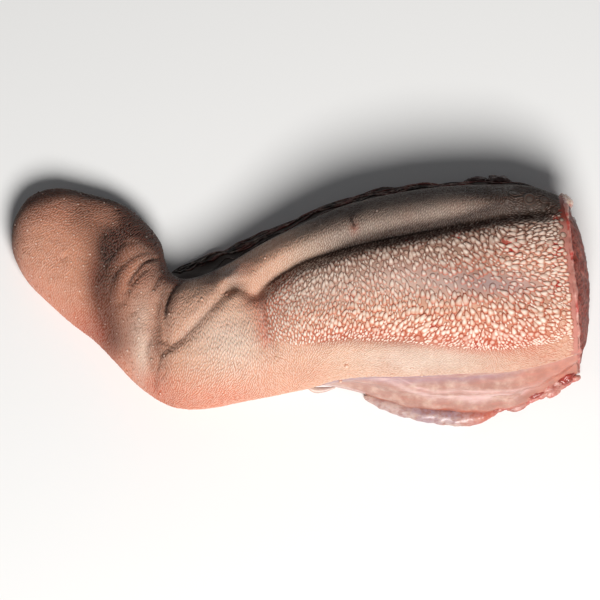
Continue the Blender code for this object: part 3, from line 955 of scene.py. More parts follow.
def write_masks(mesh, masks):
    for name, values in masks.items():
        layer = mesh.attributes.new(name, "FLOAT", "POINT")
        layer.data.foreach_set("value", np.asarray(values, np.float32))


def finish_piece(obj, material=None):
    """Gives a finished piece its material, smooth faces, and its place in the object."""
    if material:
        obj.data.materials.clear()
        obj.data.materials.append(material)
    obj.data.shade_smooth()
    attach(obj, BODY)


def body_mesh(form):
    """The closed mesh of the body with its masks."""
    rings, around = form.points.shape[:2]
    points = np.concatenate([form.points.reshape(-1, 3), [form.apex, form.centre]])
    apex, centre = rings * around, rings * around + 1
    first = np.arange(around)
    second = (first + 1) % around
    faces = []
    for ring in range(rings - 1):
        here, there = ring * around, (ring + 1) * around
        faces += np.c_[here + first, there + first, there + second, here + second].tolist()
    faces += [(apex, int(a), int(b)) for a, b in zip(first, second)]
    last = (rings - 1) * around
    faces += [(centre, int(last + b), int(last + a)) for a, b in zip(first, second)]
    mesh = bpy.data.meshes.new("tongue_body")
    mesh.from_pydata(((points + form.shift) * MM).tolist(), [], faces)
    along = np.concatenate([np.repeat(form.along, around), [0.0, LAST]])
    across = np.concatenate([np.tile(form.across, rings), [0.5, 0.5]])
    cut = np.concatenate([np.repeat(form.cut, around), [0.0, 1.0]])
    write_masks(mesh, skin_masks(points[:, :2], along, across, cut))
    shape = bmesh.new()
    shape.from_mesh(mesh)
    bmesh.ops.recalc_face_normals(shape, faces=shape.faces)
    shape.to_mesh(mesh)
    shape.free()
    return mesh


# A tube's least radius, and the steps over which each of its ends rounds off
THINNEST = 0.05
ROUNDED_STEPS = 3


def tube_mesh(name, course, radii, squash, around, per_run, lump, pattern, floor):
    """A closed tube along a smooth course, flattened in height, with rounded ends and an uneven skin."""
    runs = (len(course) - 1) * per_run
    where = np.linspace(0, len(course) - 1, runs + 1)
    middle = spline(course, where)
    radius = np.maximum(spline(radii, where), THINNEST)
    from_end = np.minimum(np.arange(runs + 1), runs - np.arange(runs + 1))
    ends = np.sin(np.pi / 2 * np.clip(from_end / ROUNDED_STEPS, 0.25, 1))
    ahead = np.gradient(middle, axis=0)
    ahead /= np.linalg.norm(ahead, axis=1, keepdims=True)
    side = np.cross(ahead, (0, 0, 1.0))
    side /= np.maximum(np.linalg.norm(side, axis=1, keepdims=True), 1e-9)
    up = np.cross(side, ahead)
    angle = np.linspace(0, 2 * np.pi, around, endpoint=False)
    rings = []
    for i in range(runs + 1):
        ring = middle[i] + radius[i] * ends[i] * (
            np.outer(np.cos(angle), side[i]) + squash * np.outer(np.sin(angle), up[i])
        )
        swell = 1 + waves(ring, *lump, pattern) + waves(ring, lump[0] * 0.3, lump[1] * 0.3, pattern + 1)
        rings.append(middle[i] + swell[:, None] * (ring - middle[i]))
    rings = np.array(rings)
    rings[:, :, 2] = np.maximum(rings[:, :, 2], floor)
    return rings_mesh(name, rings)


def closed_mesh(name, shape):
    """The mesh of a finished shape, with its faces turned outwards."""
    bmesh.ops.recalc_face_normals(shape, faces=shape.faces)
    mesh = bpy.data.meshes.new(name)
    shape.to_mesh(mesh)
    shape.free()
    return mesh


def rings_mesh(name, rings):
    """A closed mesh from rings of points, with a fan at each end, in the body's place."""
    around = rings.shape[1]
    shape = bmesh.new()
    shift = body_form().shift
    loops = [[shape.verts.new((p + shift) * MM) for p in ring] for ring in rings]
    for i in range(around):
        j = (i + 1) % around
        for ring, following in zip(loops[:-1], loops[1:]):
            shape.faces.new((ring[i], ring[j], following[j], following[i]))
    for loop in (loops[0], loops[-1]):
        middle = shape.verts.new(sum((v.co for v in loop), Vector()) / around)
        for i in range(around):
            shape.faces.new((middle, loop[i], loop[(i + 1) % around]))
    return closed_mesh(name, shape)


def scrap_mesh(scrap, number, lumps=SCRAP_LUMPS, rough=1.0):
    """One trimming: a lumpy oval that rests on the floor's side of the wall."""
    shape = bmesh.new()
    bmesh.ops.create_icosphere(shape, subdivisions=4, radius=1.0)
    turn = Matrix.Rotation(math.radians(scrap.turn), 3, "Z")
    size, length = lumps
    shift = Vector(body_form().shift)
    for vert in shape.verts:
        swell = 1 + size * noise.noise(vert.co * length + Vector(PATTERN_STEP) * (20 + number))
        for share, count, pattern in SCRAP_ROUGHNESS:
            swell += rough * share * noise.noise(vert.co * count + Vector(PATTERN_STEP) * (pattern + number))
        place = turn @ Vector(a * b * swell for a, b in zip(vert.co, scrap.radii)) + Vector(scrap.centre)
        place.z = max(place.z, SCRAP_LOWEST)
        vert.co = (place + shift) * MM
    mesh = bpy.data.meshes.new("scrap")
    shape.to_mesh(mesh)
    shape.free()
    return mesh


def torn_foot_mesh():
    """Ragged lumps side by side along the foot, as one mesh."""
    settings = tongue_settings()
    draw = np.random.default_rng(settings.seed + 4)
    where = np.linspace(0, len(TORN_FOOT) - 1, settings.torn_lumps)
    places = spline([place for place, _ in TORN_FOOT], where)
    sizes = spline([size for _, size in TORN_FOOT], where)
    meshes = []
    for number, (place, size) in enumerate(zip(places, sizes)):
        stray_x, stray_y, stray_z = TORN_SPREAD
        place = place + draw.normal(0, (stray_x, stray_y * size, stray_z * size))
        radii = size * draw.uniform(*TORN_RADII)
        turn, change = TORN_TURN
        scrap = Scrap(tuple(place), tuple(radii), turn + draw.uniform(-change, change))
        meshes.append(scrap_mesh(scrap, 50 + number, FAT_LUMPS, 0.5))
    return joined_mesh("torn_foot", meshes)


def rim_mesh():
    """A ragged cord of fat and torn fascia between the skin and the meat, all round the cut."""
    form = body_form()
    rim, inner = form.points[SKIN_RINGS - 1], form.points[SKIN_RINGS + 1]
    middle = rim.mean(axis=0)
    angle = np.linspace(0, 2 * np.pi, RIM_AROUND, endpoint=False)
    loops = []
    for edge, within in zip(rim, inner):
        outward = edge - middle
        outward /= np.linalg.norm(outward)
        place = 0.6 * edge + 0.4 * within
        swell = 1 + sum(size * noise.noise(Vector(place) / length) for size, length in RIM_LUMPS)
        thick = RIM_RADIUS * swell
        loop = place + thick * (np.outer(np.cos(angle), outward) + np.outer(np.sin(angle), (1.0, 0, 0)))
        loop[:, 2] = np.maximum(loop[:, 2], CLEAR_OF_FLOOR)
        loops.append(loop)
    return ring_of_loops("cut_rim", np.array(loops))


def ring_of_loops(name, loops):
    """A closed mesh from loops that meet end to end."""
    shape = bmesh.new()
    shift = body_form().shift
    verts = [[shape.verts.new((p + shift) * MM) for p in loop] for loop in loops]
    for here, following in zip(verts, verts[1:] + verts[:1]):
        for i in range(len(here)):
            j = (i + 1) % len(here)
            shape.faces.new((here[i], here[j], following[j], following[i]))
    return closed_mesh(name, shape)


def joined_mesh(name, meshes):
    """One mesh that holds the given ones, which are removed."""
    shape = bmesh.new()
    for mesh in meshes:
        shape.from_mesh(mesh)
        bpy.data.meshes.remove(mesh)
    joined = bpy.data.meshes.new(name)
    shape.to_mesh(joined)
    shape.free()
    return joined


# Papillae


PapillaForm = namedtuple("PapillaForm", "around rings length width height hook")
COLLAR = ((1.24, 0.08), (1.06, 0.26))
COARSE_FORM = PapillaForm(12, (*COLLAR, (0.92, 0.56), (0.66, 0.84), (0.28, 1.0)), 0.66, 0.37, 0.21, 0.06)
MEDIUM_FORM = PapillaForm(9, ((1.26, 0.10), (0.98, 0.46), (0.56, 0.90)), 0.70, 0.34, 0.24, 0.07)
FINE_FORM = PapillaForm(6, ((1.0, 0.0), (0.60, 0.72)), 1.02, 0.32, 0.27, 0.04)
BUTTON_FORM = PapillaForm(12, (*COLLAR, (1.0, 0.55), (0.85, 0.85), (0.48, 0.98)), 0.46, 0.46, 0.50, 0.0)
DISC_FORM = PapillaForm(16, (*COLLAR, (0.97, 0.6), (0.80, 0.88), (0.40, 1.0)), 0.44, 0.40, 0.15, 0.0)
WALLED_FORM = PapillaForm(
    24, ((1.12, 0.10), (1.0, 0.62), (0.86, 0.80), (0.74, 0.45), (0.66, 0.10), (0.56, 0.62), (0.30, 0.98)),
    0.5, 0.42, 0.07, 0.0,
)
SUNK = 0.5  # share of its height that a papilla's foot reaches under the skin


def papilla_mesh(name, form):
    """One papilla of unit spacing, leaning along +X.

    Its tone is the height, and its tip runs from 0 at the root end to 1 at the point.
    """
    shape = bmesh.new()
    tone, tip = [], []
    rings = [(1.0, -SUNK)] + list(form.rings)
    loops = []
    for share, rise in rings:
        loop = []
        for i in range(form.around):
            angle = 2 * math.pi * i / form.around
            pointed = 0.26 * math.cos(angle) * (form.hook > 0)
            x = form.length * share * math.cos(angle) * (1 + pointed) + form.hook * max(rise, 0.0) ** 1.5
            y = form.width * share * math.sin(angle) * (1 - pointed)
            loop.append(shape.verts.new((x, y, form.height * rise)))
            tone.append(max(rise, 0.0))
            tip.append(0.5 + 0.5 * share * math.cos(angle))
        loops.append(loop)
    top = shape.verts.new((form.hook * 1.1, 0.0, form.height * max(1.0, rings[-1][1])))
    foot = shape.verts.new((0.0, 0.0, -form.height * SUNK))
    tone += [1.0, 0.0]
    tip += [0.6, 0.5]
    for i in range(form.around):
        j = (i + 1) % form.around
        for ring, following in zip(loops[:-1], loops[1:]):
            shape.faces.new((ring[i], ring[j], following[j], following[i]))
        shape.faces.new((loops[-1][i], loops[-1][j], top))
        shape.faces.new((foot, loops[0][j], loops[0][i]))
    mesh = closed_mesh(name, shape)
    write_masks(mesh, {"tone": tone, "tip": tip})
    mesh.shade_smooth()
    return mesh


Spots = namedtuple("Spots", "points normals leans sizes masks")
CANDIDATES = (7.0, 24.0)  # random draws for each square of the wanted spacing, outside the hump and on it
CLEARANCE = 0.86
PAPILLAE_REACH = (0.4, 19.74)  # first and last station with papillae
# The fine papillae's pieces, each from one station to another, to keep each under 200,000 triangles
FINE_RUNS = (("papillae_tip", 0.0, 9.5), ("papillae_neck", 9.5, 15.0), ("papillae_margin", 15.0, 20.0))
# How far a papilla clears the space along its lean and across it, on the hump and elsewhere
OVAL = (1.30, 0.80)
FINE_OVAL = (1.50, 0.74)
# Small ones between the coarse ones: share of the size, of the gap, and the least size that takes them
FILLER_SIZE = 0.50
FILLER_GAP = 0.66
FILLER_FROM = 2.2
COARSE_FROM = 2.3  # size from which a papilla of the hump is a coarse one
# Buttons of the tip and discs of the hump: least gap between two, and their diameters
BUTTON_GAP = 7.0
BUTTON_SIZES = (1.1, 1.6)
DISC_GAP = 9.0
DISC_SIZES = (2.6, 3.7)


def surface_at(form, rows, columns):
    """Places, normals and section values at fractional grid positions of the body."""
    around = form.points.shape[1]
    row, column = np.floor(rows).astype(int), np.floor(columns).astype(int)
    a, b = (rows - row)[:, None], (columns - column)[:, None]
    following = (column + 1) % around

    def blend(grid):
        near_row = grid[row, column] * (1 - b) + grid[row, following] * b
        next_row = grid[row + 1, column] * (1 - b) + grid[row + 1, following] * b
        return near_row * (1 - a) + next_row * a

    along = form.along[row] * (1 - a[:, 0]) + form.along[row + 1] * a[:, 0]
    across = form.across[column]
    return blend(form.points), blend(form.normals), along, across


def spacing_at(plan, along):
    """Wanted distance between neighbouring papillae, from fine on the margins to coarse on the hump."""
    settings = tongue_settings()
    fine, coarse = settings.fine_spacing / MM, settings.coarse_spacing / MM
    growth = 0.30 + 0.70 * ramp(plan[:, 0], -22, 32)
    from_groove = past_groove(plan)
    by_groove = 1 - 0.62 * (1 - ramp(from_groove, 3, 13))
    near_side = ramp(-line_offset(FIELD_NEAR_SIDE, plan), -1.5, 6)
    near_rows = 1 - 0.18 * ramp(from_groove, 22, 32) * (1 - ramp(plan[:, 0], 55, 85))
    bristle = 0.35 * patch(plan, (-44, -42), (30, 22))
    leafy = 1 + 0.25 * patch(plan, (112, -24), (32, 12)) + 0.12 * patch(plan, (100, 24), (45, 9))
    leafy -= 0.30 * ramp(plan[:, 0], 140, 158)
    growth *= by_groove * near_rows * near_side * leafy
    return fine + bristle + (coarse - fine) * field_share(plan, along) * growth


@lru_cache(maxsize=1)
def papilla_spots():
    """Places for all papillae: each clears the space around it, in an order that sweeps along the tongue."""
    form = body_form()
    draw = np.random.default_rng(tongue_settings().seed)
    grid = form.points[:SKIN_RINGS]
    down = np.diff(grid, axis=0)
    over = np.roll(grid, -1, axis=1) - grid
    area = np.linalg.norm(np.cross(down, over[:-1]), axis=2)
    middle = grid[:-1].reshape(-1, 3)
    along = np.repeat(form.along[: SKIN_RINGS - 1], grid.shape[1])
    across = np.tile(form.across, SKIN_RINGS - 1)
    near_limit = 1.0 - wet_rise(along) + 0.55 * (1 - ramp(along, 11.5, 14.0))
    first, last = PAPILLAE_REACH
    wanted = (across > -0.05) & (across < near_limit) & (along < last) & (along > first)
    least, most = CANDIDATES
    draws = least + (most - least) * field_share(middle[:, :2], along)
    expected = area.ravel() * draws / spacing_at(middle[:, :2], along) ** 2 * wanted
    count = np.floor(expected + draw.random(len(expected))).astype(int)
    cell = np.repeat(np.arange(len(expected)), count)
    rows = cell // grid.shape[1] + draw.random(len(cell))
    columns = cell % grid.shape[1] + draw.random(len(cell))
    points, normals, along, across = surface_at(form, rows, columns)
    spacing = spacing_at(points[:, :2], along)
    sweep = along + 0.15 * np.sin(points[:, 1] / 9.0 + 1.3 * np.sin(points[:, 0] / 17.0))
    sweep += LAST * field_share(points[:, :2], along) * draw.random(len(points))
    order = np.argsort(sweep)
    tree = kdtree.KDTree(len(points))
    for i, point in enumerate(points):
        tree.insert(point, i)
    tree.balance()
    leans = lean_direction(points[:, :2])
    masks = skin_masks(points[:, :2], along, across, np.zeros(len(points)))
    hump = masks["field"] > 0.5

    def taken_by(i, gap):
        """The candidates in an oval round one of them, longer along its lean."""
        long, wide = OVAL if hump[i] else FINE_OVAL
        near = np.array([j for _, j, _ in tree.find_range(points[i], gap * long)])
        offset = points[near] - points[i]
        forward = offset[:, :2] @ leans[i]
        aside = (offset ** 2).sum(axis=1) - forward ** 2
        return near[forward ** 2 / long ** 2 + aside / wide ** 2 < gap ** 2]

    def settle(free, sizes):
        kept = []
        for i in order:
            if free[i]:
                kept.append(i)
                free[taken_by(i, CLEARANCE * sizes[i])] = False
        return kept

    kept = settle(np.ones(len(points), bool), spacing)
    room = (spacing > FILLER_FROM) & (masks["lilac"] < 0.35)
    for i in kept:
        room[taken_by(i, FILLER_GAP * spacing[i])] = False
    fillers = settle(room, spacing * FILLER_SIZE)
    spacing[fillers] *= FILLER_SIZE
    spacing *= 1.0 - 0.26 * masks["lilac"] * masks["field"]
    kept = np.array(kept + fillers)
    return dress_spots(points[kept], normals[kept], along[kept], across[kept], spacing[kept]), along[kept]


def dress_spots(points, normals, along, across, sizes):
    """Spots with the colours of the skin under them and the way that they lean."""
    masks = skin_masks(points[:, :2], along, across, np.zeros(len(points)))
    return Spots(points, normals, lean_direction(points[:, :2]), sizes, masks)


def spots_at(places):
    """Spots on the upper side over plan positions, each with its own diameter."""
    form = body_form()
    columns = np.flatnonzero((form.across > 0.0) & (form.across < 1.0))
    upper = form.points[:SKIN_RINGS, columns]
    rows, cells = [], []
    for x, y, _ in places:
        nearest = np.argmin(np.hypot(upper[:, :, 0] - x, upper[:, :, 1] - y))
        rows.append(nearest // len(columns))
        cells.append(columns[nearest % len(columns)])
    points, normals = form.points[rows, cells], form.normals[rows, cells]
    sizes = np.array([diameter for _, _, diameter in places], float)
    return dress_spots(points, normals, form.along[rows], form.across[cells], sizes)


def drawn_buttons():
    """Small buttons drawn evenly over the tip and neck."""
    spots, along = papilla_spots()
    draw = np.random.default_rng(tongue_settings().seed + 1)
    tip = np.flatnonzero((along > 0.8) & (along < 9.2) & (spots.normals[:, 2] > 0.3))
    picked = thin_out(spots.points, draw.permutation(tip), BUTTON_GAP, tongue_settings().buttons)
    sizes = draw.uniform(*BUTTON_SIZES, len(picked))
    return chosen(spots, picked)._replace(sizes=sizes)


def drawn_discs():
    """Flat round papillae drawn evenly over the hump."""
    spots, _ = papilla_spots()
    draw = np.random.default_rng(tongue_settings().seed + 2)
    hump = np.flatnonzero((spots.masks["field"] > 0.9) & (spots.points[:, 0] > 15))
    picked = thin_out(spots.points, draw.permutation(hump), DISC_GAP, tongue_settings().discs)
    sizes = draw.uniform(*DISC_SIZES, len(picked)) * ramp(spots.points[picked, 0], -60, 90)
    return chosen(spots, picked)._replace(sizes=sizes)


def thin_out(points, candidates, least_gap, most):
    """The first candidates that keep least_gap from each other, at most a given number."""
    picked = []
    for i in candidates:
        if all(np.linalg.norm(points[i] - points[j]) > least_gap for j in picked):
            picked.append(i)
        if len(picked) == most:
            break
    return np.array(picked)


def clear_of(spots, others, share):
    """Which spots stand clear of other, larger ones."""
    clear = np.ones(len(spots.points), bool)
    for point, size in zip(others.points, others.sizes):
        clear &= np.linalg.norm(spots.points - point, axis=1) > share * size
    return clear


def chosen(spots, keep):
    masks = {name: values[keep] for name, values in spots.masks.items()}
    return Spots(spots.points[keep], spots.normals[keep], spots.leans[keep], spots.sizes[keep], masks)


def spots_object(name, spots):
    """The places as loose vertices that carry what the scattering needs."""
    mesh = bpy.data.meshes.new(name)
    mesh.from_pydata(((spots.points + body_form().shift) * MM).tolist(), [], [])
    write_masks(mesh, spots.masks)
    write_masks(mesh, {"spacing": spots.sizes * MM})
    leans = np.c_[spots.leans, np.zeros(len(spots.leans))]
    for layer_name, vectors in (("upward", spots.normals), ("lean", leans)):
        layer = mesh.attributes.new(layer_name, "FLOAT_VECTOR", "POINT")
        layer.data.foreach_set("vector", np.asarray(vectors, np.float32).ravel())
    return add_object(name, mesh)


class Wires:
    """Adds nodes to a tree: the settings of each are set first, then its values and links."""

    def __init__(self, tree):
        self.tree = tree

    def node(self, kind, settings=None, inputs=None, output=0):
        made = self.tree.nodes.new(kind)
        for key, value in (settings or {}).items():
            setattr(made, key, value)
        for key, value in (inputs or {}).items():
            if isinstance(value, Value):
                self.tree.links.new(value.socket, made.inputs[key])
            else:
                made.inputs[key].default_value = value
        return Value(self, made.outputs[output])

    def attribute(self, name):
        return self.node("ShaderNodeAttribute", {"attribute_name": name}, output=2)

    def noise(self, place, size, detail=3.0, roughness=0.5):
        """Cloudy values about 0.5, with features of the given size in metres."""
        inputs = {"Vector": place, "Scale": 1.0 / size, "Detail": detail, "Roughness": roughness}
        return self.node("ShaderNodeTexNoise", None, inputs)

    def along(self, place, axis, low, high):
        """0 to 1 between two distances along an axis."""
        distance = self.node("ShaderNodeSeparateXYZ", None, {"Vector": place}, axis)
        return ((distance - low) * (1.0 / (high - low))).clamped()

    def bump(self, height, strength, distance):
        inputs = {"Strength": strength, "Distance": distance, "Height": height}
        return self.node("ShaderNodeBump", None, inputs)

    def mix(self, a, b, factor, blend="MIX"):
        settings = {"data_type": "RGBA", "blend_type": blend, "clamp_factor": True}
        return self.node("ShaderNodeMix", settings, {0: factor, 6: opaque(a), 7: opaque(b)}, 2)


class Value:
    """A socket whose arithmetic adds Math nodes to its tree."""

    def __init__(self, wires, socket):
        self.wires = wires
        self.socket = socket

    def _maths(self, operation, *values, clamp=False):
        settings = {"operation": operation, "use_clamp": clamp}
        return self.wires.node("ShaderNodeMath", settings, dict(enumerate(values)))

    def __add__(self, other):
        return self._maths("ADD", self, other)

    def __radd__(self, other):
        return self._maths("ADD", other, self)

    def __sub__(self, other):
        return self._maths("SUBTRACT", self, other)

    def __rsub__(self, other):
        return self._maths("SUBTRACT", other, self)

    def __mul__(self, other):
        return self._maths("MULTIPLY", self, other)

    def __rmul__(self, other):
        return self._maths("MULTIPLY", other, self)

    def clamped(self):
        return self._maths("ADD", self, 0.0, clamp=True)

    def sharpened(self, middle, gain):
        """0 to 1 around the value middle, with the given steepness."""
        return self._maths("ADD", (self - middle) * gain, 0.5, clamp=True)


def opaque(colour):
    """A colour with its alpha, or the link that carries one."""
    return colour if isinstance(colour, Value) else (*colour[:3], 1.0)


# What the scattering is given, with the kind of each socket
SCATTER_INPUTS = {
    "Geometry": "Geometry", "Papilla": "Object", "Unevenness": "Float", "Turn": "Float", "Seed": "Int",
    "Finish": "Material",
}


def scatter_tree():
    """Stands a papilla on each vertex, square to the skin and leaning with its neighbours."""
    tree = bpy.data.node_groups.new("Papillae", "GeometryNodeTree")
    for name, kind in SCATTER_INPUTS.items():
        tree.interface.new_socket(name, in_out="INPUT", socket_type="NodeSocket" + kind)
    tree.interface.new_socket("Geometry", in_out="OUTPUT", socket_type="NodeSocketGeometry")
    wires = Wires(tree)
    given = tree.nodes.new("NodeGroupInput")
    socket = {name: Value(wires, given.outputs[name]) for name in SCATTER_INPUTS}
    vector = {"data_type": "FLOAT_VECTOR"}
    upward = wires.node("GeometryNodeInputNamedAttribute", vector, {"Name": "upward"})
    lean = wires.node("GeometryNodeInputNamedAttribute", vector, {"Name": "lean"})
    spacing = wires.node("GeometryNodeInputNamedAttribute", {"data_type": "FLOAT"}, {"Name": "spacing"})
    upright = wires.node("FunctionNodeAlignRotationToVector", {"axis": "Z"}, {"Vector": upward})
    leaning = wires.node(
        "FunctionNodeAlignRotationToVector", {"axis": "X", "pivot_axis": "Z"},
        {"Rotation": upright, "Vector": lean},
    )

    def random_between(low, high, seed):
        inputs = {2: low, 3: high, "Seed": seed}
        return wires.node("FunctionNodeRandomValue", {"data_type": "FLOAT"}, inputs, 1)

    random_turn = random_between(socket["Turn"] * -1.0, socket["Turn"], socket["Seed"])
    turned = wires.node("ShaderNodeCombineXYZ", None, {"Z": random_turn})
    turn = wires.node("FunctionNodeEulerToRotation", None, {"Euler": turned})
    rotation = wires.node("FunctionNodeRotateRotation", {"rotation_space": "LOCAL"}, {0: leaning, 1: turn})
    least, most = 1.0 - socket["Unevenness"], 1.0 + socket["Unevenness"]
    stretch = [random_between(least, most, socket["Seed"] + (axis + 1.0)) for axis in range(3)]
    size = spacing * random_between(least, most, socket["Seed"] + 9.0)
    sizes = {axis: size * share for axis, share in enumerate(stretch)}
    scale = wires.node("ShaderNodeCombineXYZ", None, sizes)
    papilla = wires.node("GeometryNodeObjectInfo", None, {"Object": socket["Papilla"]}, "Geometry")
    placed = wires.node("GeometryNodeInstanceOnPoints", None, {
        "Points": socket["Geometry"], "Instance": papilla, "Rotation": rotation, "Scale": scale})
    real = wires.node("GeometryNodeRealizeInstances", None, {"Geometry": placed})
    painted = wires.node("GeometryNodeSetMaterial", None, {"Geometry": real, "Material": socket["Finish"]})
    out = tree.nodes.new("NodeGroupOutput")
    tree.links.new(painted.socket, out.inputs[0])
    return tree


def scatter(name, spots, form, material, unevenness, turn, seed):
    """A plain mesh of papillae on the given spots, sized and turned at random about what each spot wants."""
    tree = bpy.data.node_groups.get("Papillae") or scatter_tree()
    pattern = add_object(name + "_pattern", papilla_mesh(name + "_pattern", form))
    holder = spots_object(name, spots)
    modifier = holder.modifiers.new("Papillae", "NODES")
    modifier.node_group = tree
    values = {"Papilla": pattern, "Unevenness": unevenness, "Turn": turn, "Seed": seed, "Finish": material}
    for item in tree.interface.items_tree:
        if item.in_out == "INPUT" and item.name in values:
            modifier[item.identifier] = values[item.name]
    graph = bpy.context.evaluated_depsgraph_get()
    mesh = bpy.data.meshes.new_from_object(holder.evaluated_get(graph))
    bpy.data.objects.remove(holder)
    bpy.data.objects.remove(pattern)
    finish_piece(add_object(name, mesh))


# Materials


def new_material(name):
    material = bpy.data.materials.new(name)
    material.use_nodes = True
    material.node_tree.nodes.clear()
    return material, Wires(material.node_tree)


def close_material(material, wires, inputs):
    """Ends a material in a Principled shader with the given inputs."""
    tree = material.node_tree
    shader = wires.node("ShaderNodeBsdfPrincipled", None, inputs)
    out = tree.nodes.new("ShaderNodeOutputMaterial")
    tree.links.new(shader.socket, out.inputs["Surface"])
    return material


def under_light(weight, radius, scale):
    """Settings for light that passes under the surface: its share, and its reach for red, green and blue."""
    return {"Subsurface Weight": weight, "Subsurface Radius": radius, "Subsurface Scale": scale}


def object_place(wires):
    return wires.node("ShaderNodeTexCoord", None, None, "Object")


def skin_colour(wires, place):
    """The skin's colour from its masks, clouded by noise."""
    settings = tongue_settings()
    mask = {name: wires.attribute(name) for name in MASKS}
    broad = wires.noise(place, 0.030)
    cloudy = wires.noise(place, 0.009, 4.0)
    fine = wires.noise(place, 0.0022, 3.0, 0.6)
    colour = wires.mix(settings.cream, settings.tan, mask["tan"])
    colour = wires.mix(colour, settings.salmon, mask["salmon"] * (0.6 + broad * 0.8))
    colour = wires.mix(colour, settings.grey, mask["grey"] * (0.75 + cloudy * 0.4))
    colour = wires.mix(colour, settings.dun, mask["dun"] * (0.7 + cloudy * 0.6))
    colour = wires.mix(colour, settings.lilac, mask["lilac"] * (0.5 + cloudy))
    colour = wires.mix(colour, settings.pale, mask["pale"] * (0.5 + cloudy))
    flush = mask["blush"] * (0.2 + cloudy * 1.2) + broad.sharpened(0.56, 4.0) * 0.10
    colour = wires.mix(colour, settings.blush, flush)
    # Painted shade: brown where the shade mask is.
    colour = wires.mix(colour, settings.brown, mask["shade"] * (0.85 + broad * 0.3))
    mottle = 0.80 + 0.25 * cloudy + 0.15 * fine
    shade = wires.node("ShaderNodeCombineXYZ", None, {0: mottle, 1: mottle, 2: mottle})
    return wires.mix(colour, shade, 1.0, "MULTIPLY"), mask


def body_material():
    """The whole body: skin, wet wall, fascia, blood and bare meat, laid over one another by their masks."""
    settings = tongue_settings()
    material, wires = new_material("tongue_skin")
    place = object_place(wires)
    colour, mask = skin_colour(wires, place)
    streak = wires.node("ShaderNodeMapping", None, {"Vector": place, "Scale": (0.15, 1.0, 1.0)})
    strands = wires.noise(streak, 0.0035, 4.0, 0.6)
    grain = wires.noise(place, 0.0016, 4.0, 0.65)
    marble = wires.noise(place, 0.007, 5.0, 0.6)
    # Between the papillae: reddened skin, and painted shade in the crevices, darkest by the groove.
    gap = wires.mix(settings.umber, settings.blush, mask["rust"])
    bare = mask["field"] * (1.0 - mask["lilac"] * 0.7)
    colour = wires.mix(colour, gap, bare * (0.04 + 0.38 * marble).clamped())
    veins = strands.sharpened(0.56, 6.0) * 0.22 + marble.sharpened(0.54, 6.0) * 0.30
    meat = wires.mix(settings.meat, settings.fascia, veins)
    meat = wires.mix(meat, settings.brown, grain.sharpened(0.46, -6.0) * 0.65)
    # Painted shade on the cut meat, and on the fascia at the far corner, from the shade mask.
    meat = wires.mix(meat, settings.brown, mask["shade"])
    dark = (mask["shade"] * 1.1 + 0.06 + marble.sharpened(0.5, 4.0) * 0.2).clamped()
    edge = wires.mix(settings.fascia, settings.meat, dark)
    colour = wires.mix(colour, edge, mask["fascia"] * (0.7 + 0.6 * grain))
    colour = wires.mix(colour, settings.blood, mask["blood"].sharpened(0.5, 3.0) * grain.sharpened(0.42, 5.0))
    colour = wires.mix(colour, meat, mask["meat"])
    wall = wires.mix(settings.membrane, settings.pale, marble.sharpened(0.58, 4.0) * 0.40)
    wall = wires.mix(wall, settings.sore, marble.sharpened(0.53, -3.5) * 0.55)
    wall = wires.mix(wall, settings.fascia, strands.sharpened(0.58, 6.0) * 0.5)
    wall = wires.mix(wall, settings.bluish, mask["plum"])
    # Painted highlight: the pale streaks of the wet wall.
    wall = wires.mix(wall, settings.painted_sheen, mask["streak"] * strands.sharpened(0.46, 5.0))
    wall = wires.mix(wall, settings.blush, mask["sore"] * marble.sharpened(0.42, 3.0))
    colour = wires.mix(colour, wall, mask["wet"] * (1.0 - mask["meat"]))
    height = grain + strands * (mask["meat"] + mask["wet"] * 0.5)
    bump = wires.bump(height, 0.3, 0.0006)
    return close_material(material, wires, {
        "Base Color": colour,
        "Roughness": (0.54 - 0.28 * mask["wet"] - 0.06 * mask["meat"] + 0.10 * grain).clamped(),
        "Specular IOR Level": 0.25,
        **under_light(0.10, (1.0, 0.35, 0.2), 0.003),
        "Coat Weight": 0.70 * mask["wet"],
        "Coat Roughness": 0.14,
        "Normal": bump,
    })


